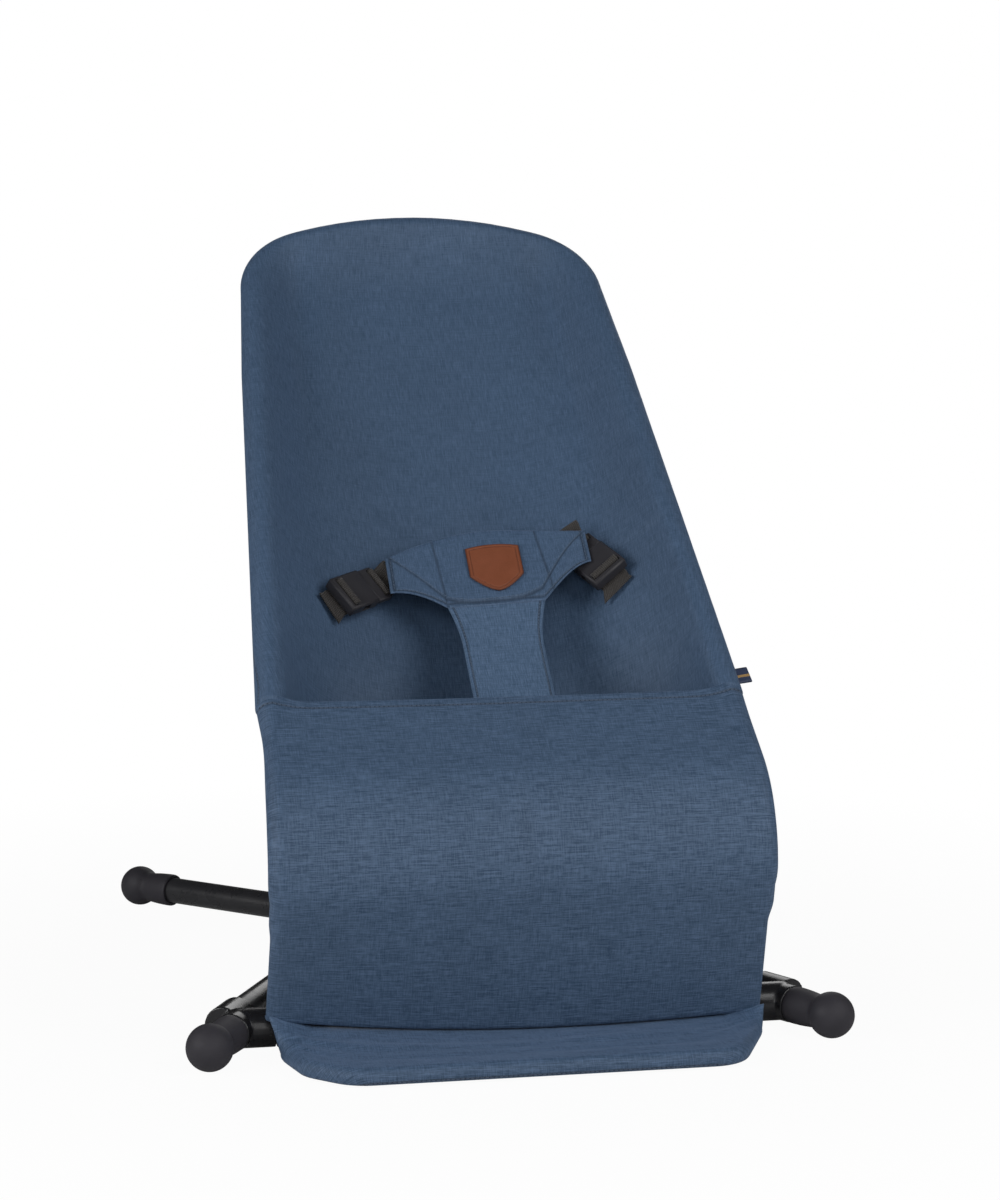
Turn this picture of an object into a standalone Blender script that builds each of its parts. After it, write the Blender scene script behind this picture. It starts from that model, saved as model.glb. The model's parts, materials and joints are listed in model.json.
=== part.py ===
"""Folding baby bouncer: a fabric seat on bent steel rails, hinged to a low hourglass base.

Metres, +Z up, the front of the bouncer towards -Y. The origin is on the floor under the middle
of the object's bounding box.
"""

import math

import bmesh
import bpy
from mathutils import Matrix, Vector

# Base, driving dimensions
FOOT_RADIUS = 0.017
FOOT_FLAT = 0.0006
FOOT_NECK = 0.0128
FOOT_BORE_START = 0.008
FOOT_SLEEVE_END = 0.038
FRONT_TRACK = 0.4548
REAR_TRACK = 0.4678
WHEELBASE = 0.552
BASE_TUBE_RADIUS = 0.011
BASE_TUBE_WALL = 0.0014
CROSSBAR_BACKSET = 0.046
CROSSBAR_HALF = 0.190
ELBOW_X = 0.202
WAIST_X = 0.0572
WAIST_Y = 0.3752
WAIST_BEND = 0.060
SOCKET_RADIUS = 0.0145
BAR_SOCKET_DEPTH = 0.014
SIDE_SOCKET_DEPTH = 0.020
SIDE_SOCKET_ROOT = 0.012
SIDE_SOCKET_START_X = 0.2076
SIDE_SOCKET_START_Y = 0.065
LOOP_RADIUS = 0.005
LOOP_WALL = 0.001
LOOP_HALF = 0.1655
LOOP_FRONT = 0.062
LOOP_SHOULDER_HALF = 0.1715
LOOP_SHOULDER_Y = 0.008
LOOP_SHOULDER_BEND = 0.025
LOOP_CORNER_HALF = 0.129
POCKET_REACH = 0.003
LOOP_CORNER_BEND = 0.032
CLAMP_WIDTH = 0.018
RING_RADIUS = 0.0148
BRIDGE_FRONT = 0.350
BRIDGE_BACK = 0.398
BRIDGE_HALF = 0.098
BRIDGE_TOP = 0.0335
BRIDGE_BOTTOM = 0.0035
SCREW_X = 0.022
SCREW_RADIUS = 0.002
SCREW_HEAD_RADIUS = 0.004
SCREW_HEAD_HEIGHT = 0.0025
SCREW_COVER = 0.0065

# Seat frame, driving dimensions
RAIL_RADIUS = 0.008
RAIL_WALL = 0.0014
BACK_ANGLE = math.radians(41.5)
THIGH_ANGLE = math.radians(36.0)
SEAT_BEND = 0.150
SEAT_CORNER_Y = 0.0944
SEAT_CORNER_Z = 0.2474
SEAT_HALF = 0.1708
RAIL_TAPER_RATIO = 0.0613
RAIL_STRAIGHT = 0.442
KNEE_Y = -0.004
KNEE_HALF = 0.1745
KNEE_BEND = 0.086
SHIN_Z = 0.109
SHIN_BEND = 0.040
HEEL_Z = 0.0746
HEEL_BEND = 0.028
HINGE_HALF = 0.146
HINGE_WIDTH = 0.018
SPIGOT_LENGTH = 0.020
HEAD_TOP = 0.513
HEAD_CORNER = 0.486
HEAD_BEND = 0.042
HEAD_ARCH = 0.350
HEAD_RISE = 0.011
JOINER_LENGTH = 0.050

# Stay and recline lock, driving dimensions
STAY_PIVOT_Y = 0.320
STAY_PIVOT_Z = 0.038
STAY_LENGTH = 0.380
STAY_HALF = 0.034
STAY_TUBE_RADIUS = 0.006
STAY_TUBE_WALL = 0.0012
STAY_PIN_RADIUS = 0.005
STAY_RATIO = 1.743
STAY_BEND = 0.0115
STAY_HUB_RADIUS = 0.010
LUG_WIDTH = 0.012
LUG_ARM_HEIGHT = 0.014
LUG_ARM_DROP = 0.0125
LUG_OVERLAP = 0.012
HUB_SPIGOT_START = 0.007
HUB_SPIGOT_END = 0.030
RACK_DEPTH = 0.060
RACK_LENGTH = 0.202
RACK_BELOW = 0.0417
RACK_WIDTH = 0.020
RACK_THICKNESS = 0.010
RACK_END_LENGTH = 0.020
RACK_END_WIDTH = 0.030
RACK_END_DEPTH = 0.019
RACK_GROOVE = 0.004
BAR_DEPTH = 0.075
BOW_RADIUS = 0.005
BOW_LEAN = math.radians(15)
BOW_SHOULDER = 0.045
BOW_BENDS = [0.020, 0.030]
SLIDER_BELOW = 0.030
SLIDER_ABOVE = 0.014
SLIDER_HALF = 0.021
RECLINE_STEPS = (0.0, math.radians(-8.0), math.radians(-16.0))
PLUNGER_OFFSET = 0.018
PLUNGER_RADIUS = 0.0035
KNOB_RADIUS = 0.009
KNOB_HEIGHT = 0.0065
COLLAR_RADIUS = 0.0062
COLLAR_THICKNESS = 0.0015
CAP_THICKNESS = 0.003
SPRING_WIRE = 0.001
SLIDER_SLACK = 0.0007

# Cover, driving dimensions
CLOTH = 0.0016
SLING_START = 0.004
SLING_DEPTH = 0.085
SLING_POWER = 2.4
SLING_STEPS = 7
SEAT_BACK_Y = 0.128
SEAT_DIP_Y = 0.098
SEAT_DIP_Z = 0.162
SEAT_FRONT_Y = 0.048
SEAT_FRONT_Z = 0.178
SEAT_EDGE_START = 0.010
SEAT_EDGE_LENGTH = 0.036
SEAT_ROWS = 3
SEAT_EDGE_DROP = 0.002
PANEL_BOTTOM_Y = 0.020
PANEL_BOTTOM_Z = 0.024
FLAP_GAP = 0.0006

# Restraint, driving dimensions
RESTRAINT_OFFSET = 0.017
RESTRAINT_DEPTH = 0.027
LEFT_ARM_RISE = 0.0211
RIGHT_ARM_RISE = 0.0206
ARM_UP = 0.156
RESTRAINT_CLOTH = 0.003
STEM_HALF = 0.031
STEM_TOP = 0.112
YOKE_TOP = 0.190
YOKE_HALF = 0.080
STEM_SHARE = 0.475
WEBBING_WIDTH = 0.025
WEBBING_THICKNESS = 0.0014
PATCH_X = 0.021
PATCH_UP = 0.156
PATCH_WIDTH = 0.040
PATCH_HEIGHT = 0.036
PATCH_THICKNESS = 0.0016
BUCKLE_LENGTH = 0.032
BUCKLE_WIDTH = 0.032
BUCKLE_THICKNESS = 0.010
BUCKLE_WALL = 0.0018
BUCKLE_SLOT = 0.0036
TONGUE_LENGTH = 0.015
TONGUE_THICKNESS = 0.005
PRONG_WIDTH = 0.0045
STRAP_LIFT = 0.0024
SLOPE_STEP = 0.001
LEFT_BUCKLE_X = 0.093
LEFT_BUCKLE_UP = 0.130
LEFT_BUCKLE_STANDOFF = 0.0152
LEFT_BUCKLE_DROOP = math.radians(35)
LEFT_BUCKLE_EASE = math.radians(6.7)
RIGHT_BUCKLE_X = 0.104
RIGHT_BUCKLE_UP = 0.147
RIGHT_BUCKLE_STANDOFF = 0.0135
RIGHT_BUCKLE_DROOP = math.radians(60)
RIGHT_BUCKLE_EASE = math.radians(6.0)
LABEL_WIDTH = 0.010
LABEL_LENGTH = 0.014
LABEL_THICKNESS = 0.0016

# Fits and derived values
CLEARANCE = 0.0003
RUNNING = 0.0004
FOOT_CENTRE_Z = FOOT_RADIUS - FOOT_FLAT
AXLE_Z = 0.017
FRONT_HALF = FRONT_TRACK / 2
REAR_HALF = REAR_TRACK / 2
SOCKET_BORE = BASE_TUBE_RADIUS + CLEARANCE
RAIL_BENDS = [HEEL_BEND, SHIN_BEND, KNEE_BEND, SEAT_BEND]
RAIL_STEP = math.radians(15)
HEM_STEPS = 5
WRAP_END = math.radians(228)
HEM_FLAT = math.cos((WRAP_END - math.pi / 4) / HEM_STEPS / 2)
HEM_RADIUS = (RAIL_RADIUS + CLEARANCE + CLOTH / 2) / HEM_FLAT
LOOP_HEM = (LOOP_RADIUS + CLEARANCE + CLOTH / 2) / HEM_FLAT
LOOP_Z = LOOP_HEM + CLOTH / 2 + CLEARANCE
FRONT_EDGE = -LOOP_FRONT - LOOP_HEM - CLOTH / 2
REAR_EDGE = WHEELBASE + FOOT_RADIUS
MIDDLE_Y = (FRONT_EDGE + REAR_EDGE) / 2
BACK_UP = Vector((0, math.cos(BACK_ANGLE), math.sin(BACK_ANGLE)))
BACK_OUT = Vector((0, -math.sin(BACK_ANGLE), math.cos(BACK_ANGLE)))
ACROSS = Vector((1, 0, 0))
STAY_PIVOT = Vector((0, STAY_PIVOT_Y, STAY_PIVOT_Z))
SEAT_CORNER = Vector((0, SEAT_CORNER_Y, SEAT_CORNER_Z))
PIVOT_DEPTH = -(STAY_PIVOT - SEAT_CORNER).dot(BACK_OUT)
STAY_ANGLE = BACK_ANGLE + math.asin((PIVOT_DEPTH - BAR_DEPTH) / STAY_LENGTH)
STAY_TOP_Y = STAY_PIVOT_Y + STAY_LENGTH * math.cos(STAY_ANGLE)
STAY_TOP_Z = STAY_PIVOT_Z + STAY_LENGTH * math.sin(STAY_ANGLE)
SLIDER_REST = (Vector((0, STAY_TOP_Y, STAY_TOP_Z)) - SEAT_CORNER).dot(BACK_UP)
RACK_START = SLIDER_REST - RACK_BELOW


def clear_scene():
    for item in list(bpy.data.objects):
        bpy.data.objects.remove(item, do_unlink=True)


def finish(name, colour, roughness, metallic=0.0):
    """A plain Principled material."""
    made = bpy.data.materials.new(name)
    made.use_nodes = True
    shader = made.node_tree.nodes["Principled BSDF"]
    shader.inputs["Base Color"].default_value = (*colour, 1.0)
    shader.inputs["Roughness"].default_value = roughness
    shader.inputs["Metallic"].default_value = metallic
    return made


def link(item, material, parent):
    """Puts an object in the scene with its material, and hangs it on its parent empty."""
    bpy.context.scene.collection.objects.link(item)
    item.data.materials.clear()
    item.data.materials.append(material)
    if parent is not None:
        bpy.context.view_layer.update()
        item.parent = parent
        item.matrix_parent_inverse = parent.matrix_world.inverted()
    return item


def from_bmesh(name, bm, material, parent, smooth=True):
    bmesh.ops.recalc_face_normals(bm, faces=bm.faces)
    mesh = bpy.data.meshes.new(name)
    bm.to_mesh(mesh)
    bm.free()
    if smooth:
        mesh.shade_smooth()
        mesh.set_sharp_from_angle(angle=math.radians(35))
    return link(bpy.data.objects.new(name, mesh), material, parent)


def bend_path(points, radii, step=math.radians(15)):
    """A polyline through straight runs, with an arc of the given radius at each inner corner.

    Where two arcs don't fit on the run between them, both are made as small as it needs.
    """
    runs = [end - start for start, end in zip(points, points[1:])]
    turns = [before.angle(after) for before, after in zip(runs, runs[1:])]
    reaches = [0.0] + [radius * math.tan(turn / 2) for turn, radius in zip(turns, radii)] + [0.0]
    for index, run in enumerate(runs):
        fit = min(1.0, run.length / max(reaches[index] + reaches[index + 1], 1e-9))
        reaches[index] *= fit
        reaches[index + 1] *= fit
    path = [Vector(points[0])]
    for index, (corner, turn, reach) in enumerate(zip(points[1:], turns, reaches[1:])):
        come, go = runs[index].normalized(), runs[index + 1].normalized()
        if turn < 1e-4 or reach <= 0.0:
            path.append(Vector(corner))
            continue
        radius = reach / math.tan(turn / 2)
        inward = (go - come).normalized()
        centre = corner + inward * (radius / math.cos(turn / 2))
        start = corner - come * reach - centre
        axis = come.cross(go).normalized()
        count = max(2, math.ceil(turn / step))
        for index in range(count + 1):
            path.append(centre + Matrix.Rotation(turn * index / count, 3, axis) @ start)
    path.append(Vector(points[-1]))
    return path


def mirror_path(path):
    return [Vector((-point.x, point.y, point.z)) for point in path]


def tube_mesh(path, radius, wall=0.0, sides=16):
    """A swept tube, hollow and open at both ends where a wall is given."""
    bm = bmesh.new()
    tangents = []
    for index, point in enumerate(path):
        before = path[max(index - 1, 0)]
        after = path[min(index + 1, len(path) - 1)]
        tangents.append(((point - before).normalized() + (after - point).normalized()).normalized())
    guide = Vector((1, 0, 0)) if abs(tangents[0].x) < 0.9 else Vector((0, 0, 1))
    side = (guide - tangents[0] * guide.dot(tangents[0])).normalized()
    shells = [radius] if wall == 0.0 else [radius, radius - wall]
    loops = [[] for _ in shells]
    for point, tangent in zip(path, tangents):
        side = (side - tangent * side.dot(tangent)).normalized()
        up = tangent.cross(side)
        for shell, reach in zip(loops, shells):
            ring = []
            for turn in range(sides):
                angle = 2 * math.pi * turn / sides
                ring.append(bm.verts.new(point + (side * math.cos(angle) + up * math.sin(angle)) * reach))
            shell.append(ring)
    for shell in loops:
        for ring, following in zip(shell, shell[1:]):
            for turn in range(sides):
                after = (turn + 1) % sides
                bm.faces.new((ring[turn], ring[after], following[after], following[turn]))
    if wall == 0.0:
        bm.faces.new(loops[0][0])
        bm.faces.new(loops[0][-1])
    else:
        for end in (0, -1):
            for turn in range(sides):
                after = (turn + 1) % sides
                outer, inner = loops[0][end], loops[1][end]
                bm.faces.new((outer[turn], outer[after], inner[after], inner[turn]))
    return bm


def tube(name, path, radius, material, parent, wall=0.0, sides=12):
    return from_bmesh(name, tube_mesh(path, radius, wall, sides), material, parent)


def turned(name, profile, start, direction, material, parent, sides=20):
    """A solid of revolution: profile holds (along, radius) pairs, first and last on the axis."""
    bm = bmesh.new()
    axis = Vector(direction).normalized()
    side = axis.orthogonal().normalized()
    verts = [bm.verts.new(Vector(start) + axis * along + side * radius) for along, radius in profile]
    edges = [bm.edges.new(pair) for pair in zip(verts, verts[1:])]
    bmesh.ops.spin(bm, geom=verts + edges, cent=Vector(start), axis=axis, angle=2 * math.pi,
                   steps=sides, use_merge=True, use_duplicate=False)
    bmesh.ops.remove_doubles(bm, verts=bm.verts, dist=1e-6)
    return from_bmesh(name, bm, material, parent)


def block_mesh(size, matrix, bevel=0.0):
    """A box with its centre at the matrix's origin, its edges broken by a small bevel."""
    bm = bmesh.new()
    bmesh.ops.create_cube(bm, size=1.0)
    bmesh.ops.scale(bm, vec=Vector(size), verts=bm.verts)
    if bevel > 0.0:
        bmesh.ops.bevel(bm, geom=bm.edges, offset=bevel, offset_type="OFFSET", affect="EDGES",
                        segments=1, profile=0.5, material=-1)
    bmesh.ops.transform(bm, matrix=matrix, verts=bm.verts)
    return bm


def round_bar_mesh(start, end, radius, sides=16):
    return tube_mesh([Vector(start), Vector(end)], radius, 0.0, sides)


def shaped(name, base, adds, cuts, material, parent):
    """One moulding: a base mesh with further meshes joined to it and others cut out of it."""
    item = from_bmesh(name, base, material, parent)
    for kind, group in (("UNION", adds), ("DIFFERENCE", cuts)):
        for index, bm in enumerate(group):
            tool = from_bmesh(f"{name}_{kind.lower()}_{index}", bm, material, parent)
            tool.hide_render = True
            tool.display_type = "WIRE"
            step = item.modifiers.new(f"{kind.lower()}_{index}", "BOOLEAN")
            step.operation = kind
            step.solver = "EXACT"
            step.object = tool
    return item


def frame_matrix(origin, x_axis, y_axis, z_axis):
    matrix = Matrix((x_axis, y_axis, z_axis)).transposed().to_4x4()
    matrix.translation = origin
    return matrix


def on_back(x, up, out):
    """A point by its place across, up the backrest's slope, and out in front of the rails."""
    sine, cosine = math.sin(BACK_ANGLE), math.cos(BACK_ANGLE)
    return Vector((x, SEAT_CORNER_Y + up * cosine - out * sine, SEAT_CORNER_Z + up * sine + out * cosine))


def rail_half(up):
    """Half the distance between the rails, at a place up the backrest."""
    return SEAT_HALF - RAIL_TAPER_RATIO * up


def sling_depth(up):
    """How far the back sling hangs behind the rails on the centre line."""
    return SLING_DEPTH * (1.0 - (max(up, 0.0) / HEAD_TOP) ** 1.1)


def sling_out(x, up):
    """Where the back sling lies in front of the rails' plane, at a place between the rails."""
    inset = 0.7 * HEM_RADIUS
    share = abs(x) / (rail_half(up) - inset)
    return inset - (sling_depth(up) + inset) * (1.0 - share**SLING_POWER)


def crossbar(metal, root):
    ends = [Vector((side * CROSSBAR_HALF, CROSSBAR_BACKSET, AXLE_Z)) for side in (-1, 1)]
    return tube("front_crossbar", ends, BASE_TUBE_RADIUS, metal, root, BASE_TUBE_WALL, 16)


def foot_line(side):
    """The elbow's centre, the front foot's centre, and the way from one to the other."""
    elbow = Vector((side * ELBOW_X, CROSSBAR_BACKSET, AXLE_Z))
    foot = Vector((side * FRONT_HALF, 0.0, FOOT_CENTRE_Z))
    return elbow, foot, (foot - elbow).normalized()


def side_points(side):
    """The corner points of one side tube, from the front socket to the rear foot."""
    start = Vector((side * SIDE_SOCKET_START_X, SIDE_SOCKET_START_Y, AXLE_Z))
    waist = Vector((side * WAIST_X, WAIST_Y, AXLE_Z))
    foot = Vector((side * REAR_HALF, WHEELBASE, FOOT_CENTRE_Z))
    outward = (foot - waist).normalized()
    return start, waist, foot - outward * (FOOT_BORE_START + CLEARANCE), foot, outward


def corner_fitting(name, side, plastic, root):
    """A moulded elbow: a socket for the crossbar, a stub for the foot, a socket for the side tube."""
    elbow, foot, forward = foot_line(side)
    inward = Vector((-side, 0, 0))
    bar_mouth = Vector((side * (CROSSBAR_HALF - BAR_SOCKET_DEPTH), CROSSBAR_BACKSET, AXLE_Z))
    bar_seat = Vector((side * (CROSSBAR_HALF + CLEARANCE), CROSSBAR_BACKSET, AXLE_Z))
    start, waist = side_points(side)[:2]
    back = (waist - start).normalized()
    base = round_bar_mesh(bar_mouth, elbow, SOCKET_RADIUS)
    knuckle = bmesh.new()
    bmesh.ops.create_uvsphere(knuckle, u_segments=16, v_segments=8, radius=SOCKET_RADIUS + 0.0001)
    bmesh.ops.translate(knuckle, vec=elbow, verts=knuckle.verts)
    stub_end = foot - forward * (FOOT_BORE_START + CLEARANCE)
    stub = round_bar_mesh(elbow, stub_end, BASE_TUBE_RADIUS, 14)
    collar = round_bar_mesh(elbow, foot - forward * (FOOT_SLEEVE_END + CLEARANCE), SOCKET_RADIUS - 0.0006)
    side_socket = round_bar_mesh(start - back * SIDE_SOCKET_ROOT, start + back * SIDE_SOCKET_DEPTH,
                                 SOCKET_RADIUS - 0.0009, 16)
    bar_bore = round_bar_mesh(bar_mouth + inward * 0.004, bar_seat, SOCKET_BORE, 20)
    side_bore = round_bar_mesh(start - back * CLEARANCE, start + back * (SIDE_SOCKET_DEPTH + 0.004),
                               SOCKET_BORE, 20)
    return shaped(name, base, [knuckle, collar, stub, side_socket], [bar_bore, side_bore], plastic, root)


def ball_foot(name, centre, towards, rubber, root):
    """A rubber ball with a sleeve that pushes on a tube end, flattened a little where it stands."""
    joint = math.sqrt(FOOT_RADIUS**2 - FOOT_NECK**2)
    first = math.asin(FOOT_NECK / FOOT_RADIUS)
    sleeve = SOCKET_RADIUS - 0.0008
    profile = [(-FOOT_RADIUS, 0.0)]
    rings = 7
    for index in range(1, rings + 1):
        angle = (math.pi - first) * index / rings
        profile.append((-FOOT_RADIUS * math.cos(angle), FOOT_RADIUS * math.sin(angle)))
    profile += [(joint + 0.005, FOOT_NECK + 0.0003), (FOOT_SLEEVE_END - 0.006, sleeve),
                (FOOT_SLEEVE_END, sleeve), (FOOT_SLEEVE_END, SOCKET_BORE),
                (FOOT_BORE_START, SOCKET_BORE), (FOOT_BORE_START, 0.0)]
    foot = turned(name, profile, centre, towards, rubber, root, sides=16)
    bm = bmesh.new()
    bm.from_mesh(foot.data)
    cut = bmesh.ops.bisect_plane(bm, geom=bm.verts[:] + bm.edges[:] + bm.faces[:], dist=1e-6,
                                 plane_co=(0, 0, 0), plane_no=(0, 0, -1), clear_outer=True)
    rim = [item for item in cut["geom_cut"] if isinstance(item, bmesh.types.BMEdge)]
    bmesh.ops.contextual_create(bm, geom=rim)
    bmesh.ops.recalc_face_normals(bm, faces=bm.faces)
    bm.to_mesh(foot.data)
    bm.free()
    return foot


def side_tube(name, side, metal, root):
    start, waist, end = side_points(side)[:3]
    path = bend_path([start, waist, end], [WAIST_BEND], math.radians(12))
    return tube(name, path, BASE_TUBE_RADIUS, metal, root, BASE_TUBE_WALL)


def waist_cutters():
    """Grooves for the two side tubes where they pass through the waist bridge."""
    made = []
    for side in (-1, 1):
        start, waist, end = side_points(side)[:3]
        path = bend_path([start, waist, end], [WAIST_BEND], math.radians(12))
        made.append(tube_mesh(path, SOCKET_BORE + 0.0002, 0.0, 16))
    return made


def waist_parts(plastic, steel, root):
    """The bridge over both tubes with the stay's lugs, its clamp below, and the two screws."""
    length = BRIDGE_BACK - BRIDGE_FRONT
    middle = (BRIDGE_FRONT + BRIDGE_BACK) / 2
    split = AXLE_Z
    upper = block_mesh((2 * BRIDGE_HALF, length, BRIDGE_TOP - split - CLEARANCE / 2),
                       Matrix.Translation((0, middle, (BRIDGE_TOP + split + CLEARANCE / 2) / 2)))
    lugs = []
    lug_inner = STAY_HALF + STAY_HUB_RADIUS + CLEARANCE
    for side in (-1, 1):
        x = side * (lug_inner + LUG_WIDTH / 2)
        reach = BRIDGE_FRONT + LUG_OVERLAP - STAY_PIVOT_Y
        arm = block_mesh((LUG_WIDTH, reach, LUG_ARM_HEIGHT),
                         Matrix.Translation((x, STAY_PIVOT_Y + reach / 2, STAY_PIVOT_Z - LUG_ARM_DROP)))
        boss = round_bar_mesh((x - LUG_WIDTH / 2, STAY_PIVOT_Y, STAY_PIVOT_Z),
                              (x + LUG_WIDTH / 2, STAY_PIVOT_Y, STAY_PIVOT_Z), STAY_HUB_RADIUS, 16)
        lugs += [arm, boss]
    lug_outer = lug_inner + LUG_WIDTH
    pin_bore = round_bar_mesh((-lug_outer - 0.004, STAY_PIVOT_Y, STAY_PIVOT_Z),
                              (lug_outer + 0.004, STAY_PIVOT_Y, STAY_PIVOT_Z),
                              STAY_PIN_RADIUS + CLEARANCE)
    screw_bores = []
    screw_top = BRIDGE_TOP - SCREW_COVER
    for side in (-1, 1):
        screw_bores.append(round_bar_mesh((side * SCREW_X, middle, BRIDGE_BOTTOM + 0.004),
                                          (side * SCREW_X, middle, screw_top + 0.0005),
                                          SCREW_RADIUS + CLEARANCE, 12))
    shaped("waist_bridge", upper, lugs, waist_cutters() + [pin_bore] + screw_bores, plastic, root)
    lower = block_mesh((2 * BRIDGE_HALF, length, split - CLEARANCE / 2 - BRIDGE_BOTTOM),
                       Matrix.Translation((0, middle, (split - CLEARANCE / 2 + BRIDGE_BOTTOM) / 2)))
    screw_holes = []
    for side in (-1, 1):
        x = side * SCREW_X
        head_seat = BRIDGE_BOTTOM + SCREW_HEAD_HEIGHT + 0.0005
        screw_holes.append(round_bar_mesh((x, middle, 0.0), (x, middle, AXLE_Z + 0.002),
                                          SCREW_RADIUS + CLEARANCE, 12))
        screw_holes.append(round_bar_mesh((x, middle, 0.0), (x, middle, head_seat),
                                          SCREW_HEAD_RADIUS + CLEARANCE, 12))
    shaped("waist_clamp", lower, [], waist_cutters() + screw_holes, plastic, root)
    head_z = BRIDGE_BOTTOM + 0.0002
    for side, word in ((-1, "left"), (1, "right")):
        profile = [(0.0, 0.0), (0.0, SCREW_HEAD_RADIUS), (SCREW_HEAD_HEIGHT, SCREW_HEAD_RADIUS),
                   (SCREW_HEAD_HEIGHT, SCREW_RADIUS), (screw_top - head_z, SCREW_RADIUS),
                   (screw_top - head_z, 0.0)]
        turned(f"waist_screw_{word}", profile, (side * SCREW_X, middle, head_z), (0, 0, 1), steel, root, 12)
    pin_ends = [Vector((side * (lug_outer + 0.001), STAY_PIVOT_Y, STAY_PIVOT_Z)) for side in (-1, 1)]
    tube("stay_pin", pin_ends, STAY_PIN_RADIUS, steel, root, 0.0, 16)
    return lug_inner


def loop_points():
    """The floor loop's right half, from the clamp to the middle of its front bar."""
    back = CROSSBAR_BACKSET - RING_RADIUS - 0.0026
    return [Vector((LOOP_HALF, back, AXLE_Z - 0.0015)),
            Vector((LOOP_SHOULDER_HALF, LOOP_SHOULDER_Y, LOOP_Z)),
            Vector((LOOP_CORNER_HALF, -LOOP_FRONT, LOOP_Z)),
            Vector((0.0, -LOOP_FRONT, LOOP_Z))]


def loop_path():
    half = bend_path(loop_points(), [LOOP_SHOULDER_BEND, LOOP_CORNER_BEND], math.radians(15))
    return half + [point for point in reversed(mirror_path(half))][1:]


def floor_loop(metal, root):
    return tube("floor_loop", loop_path(), LOOP_RADIUS, metal, root, LOOP_WALL, 10)


def loop_clamp(name, side, plastic, root):
    """A moulded ring on the crossbar with a stub that fills the end of the floor loop."""
    x = side * LOOP_HALF
    start, shoulder = loop_points()[:2] if side > 0 else mirror_path(loop_points()[:2])
    along = (shoulder - start).normalized()
    ring = round_bar_mesh((x - CLAMP_WIDTH / 2, CROSSBAR_BACKSET, AXLE_Z),
                          (x + CLAMP_WIDTH / 2, CROSSBAR_BACKSET, AXLE_Z), RING_RADIUS, 20)
    neck = round_bar_mesh(start - along * 0.008, start - along * CLEARANCE, LOOP_RADIUS + 0.0015, 12)
    stub = round_bar_mesh(start - along * 0.004, start + along * 0.010,
                          LOOP_RADIUS - LOOP_WALL - CLEARANCE, 10)
    bore = round_bar_mesh((x - CLAMP_WIDTH, CROSSBAR_BACKSET, AXLE_Z),
                          (x + CLAMP_WIDTH, CROSSBAR_BACKSET, AXLE_Z), SOCKET_BORE, 16)
    return shaped(name, ring, [neck, stub], [bore], plastic, root)


def rail_points():
    """The right rail's corner points, from the hinge up to the top of the straight run."""
    tangent = math.tan(THIGH_ANGLE)
    knee_z = SEAT_CORNER_Z - (SEAT_CORNER_Y - KNEE_Y) * tangent
    return [Vector((HINGE_HALF, CROSSBAR_BACKSET, AXLE_Z + RING_RADIUS + CLEARANCE)),
            Vector((HINGE_HALF, CROSSBAR_BACKSET, HEEL_Z)),
            Vector((KNEE_HALF, KNEE_Y, SHIN_Z)),
            Vector((KNEE_HALF, KNEE_Y, knee_z)),
            Vector((SEAT_HALF, SEAT_CORNER_Y, SEAT_CORNER_Z)),
            on_back(rail_half(RAIL_STRAIGHT), RAIL_STRAIGHT, 0.0)]


def rail(name, side, metal, seat):
    path = bend_path(rail_points(), RAIL_BENDS, RAIL_STEP)
    if side < 0:
        path = mirror_path(path)
    return tube(name, path, RAIL_RADIUS, metal, seat, RAIL_WALL)


def head_points(start_up):
    return [on_back(rail_half(start_up), start_up, 0.0),
            on_back(rail_half(HEAD_CORNER), HEAD_CORNER, 0.0),
            on_back(0.0, HEAD_TOP, HEAD_RISE)]


def head_path(start_up):
    right = head_points(start_up)
    left = [point for point in reversed(mirror_path(right))]
    return bend_path(right + left[1:], [HEAD_BEND, HEAD_ARCH, HEAD_BEND], math.radians(14))


def head_bow(metal, seat):
    return tube("head_bow", head_path(RAIL_STRAIGHT + CLEARANCE), RAIL_RADIUS, metal, seat, RAIL_WALL)


def joiner(name, side, steel, seat):
    """A pin inside the tubes that joins a rail to the head bow, pressed into the rail's end."""
    top = on_back(side * rail_half(RAIL_STRAIGHT), RAIL_STRAIGHT, 0.0)
    low = on_back(side * rail_half(RAIL_STRAIGHT - JOINER_LENGTH), RAIL_STRAIGHT - JOINER_LENGTH, 0.0)
    half = (top - low).normalized() * (JOINER_LENGTH / 2)
    inner = RAIL_RADIUS - RAIL_WALL - CLEARANCE
    return tube(name, [top - half, top + half * 0.28], inner, steel, seat, 0.0, 12)


def hinge_knuckle(name, side, plastic, seat):
    """A moulded ring that turns on the crossbar, with a spigot that fills the rail's lower end."""
    x = side * HINGE_HALF
    base_z = AXLE_Z + RING_RADIUS
    ring = round_bar_mesh((x - HINGE_WIDTH / 2, CROSSBAR_BACKSET, AXLE_Z),
                          (x + HINGE_WIDTH / 2, CROSSBAR_BACKSET, AXLE_Z), RING_RADIUS, 20)
    shoulder = round_bar_mesh((x, CROSSBAR_BACKSET, AXLE_Z + 0.012), (x, CROSSBAR_BACKSET, base_z),
                              RAIL_RADIUS + 0.0005)
    spigot = round_bar_mesh((x, CROSSBAR_BACKSET, base_z - 0.001),
                            (x, CROSSBAR_BACKSET, base_z + SPIGOT_LENGTH),
                            RAIL_RADIUS - RAIL_WALL - CLEARANCE, 12)
    bore = round_bar_mesh((x - HINGE_WIDTH, CROSSBAR_BACKSET, AXLE_Z),
                          (x + HINGE_WIDTH, CROSSBAR_BACKSET, AXLE_Z), BASE_TUBE_RADIUS + RUNNING, 16)
    return shaped(name, ring, [shoulder, spigot], [bore], plastic, seat)


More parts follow.
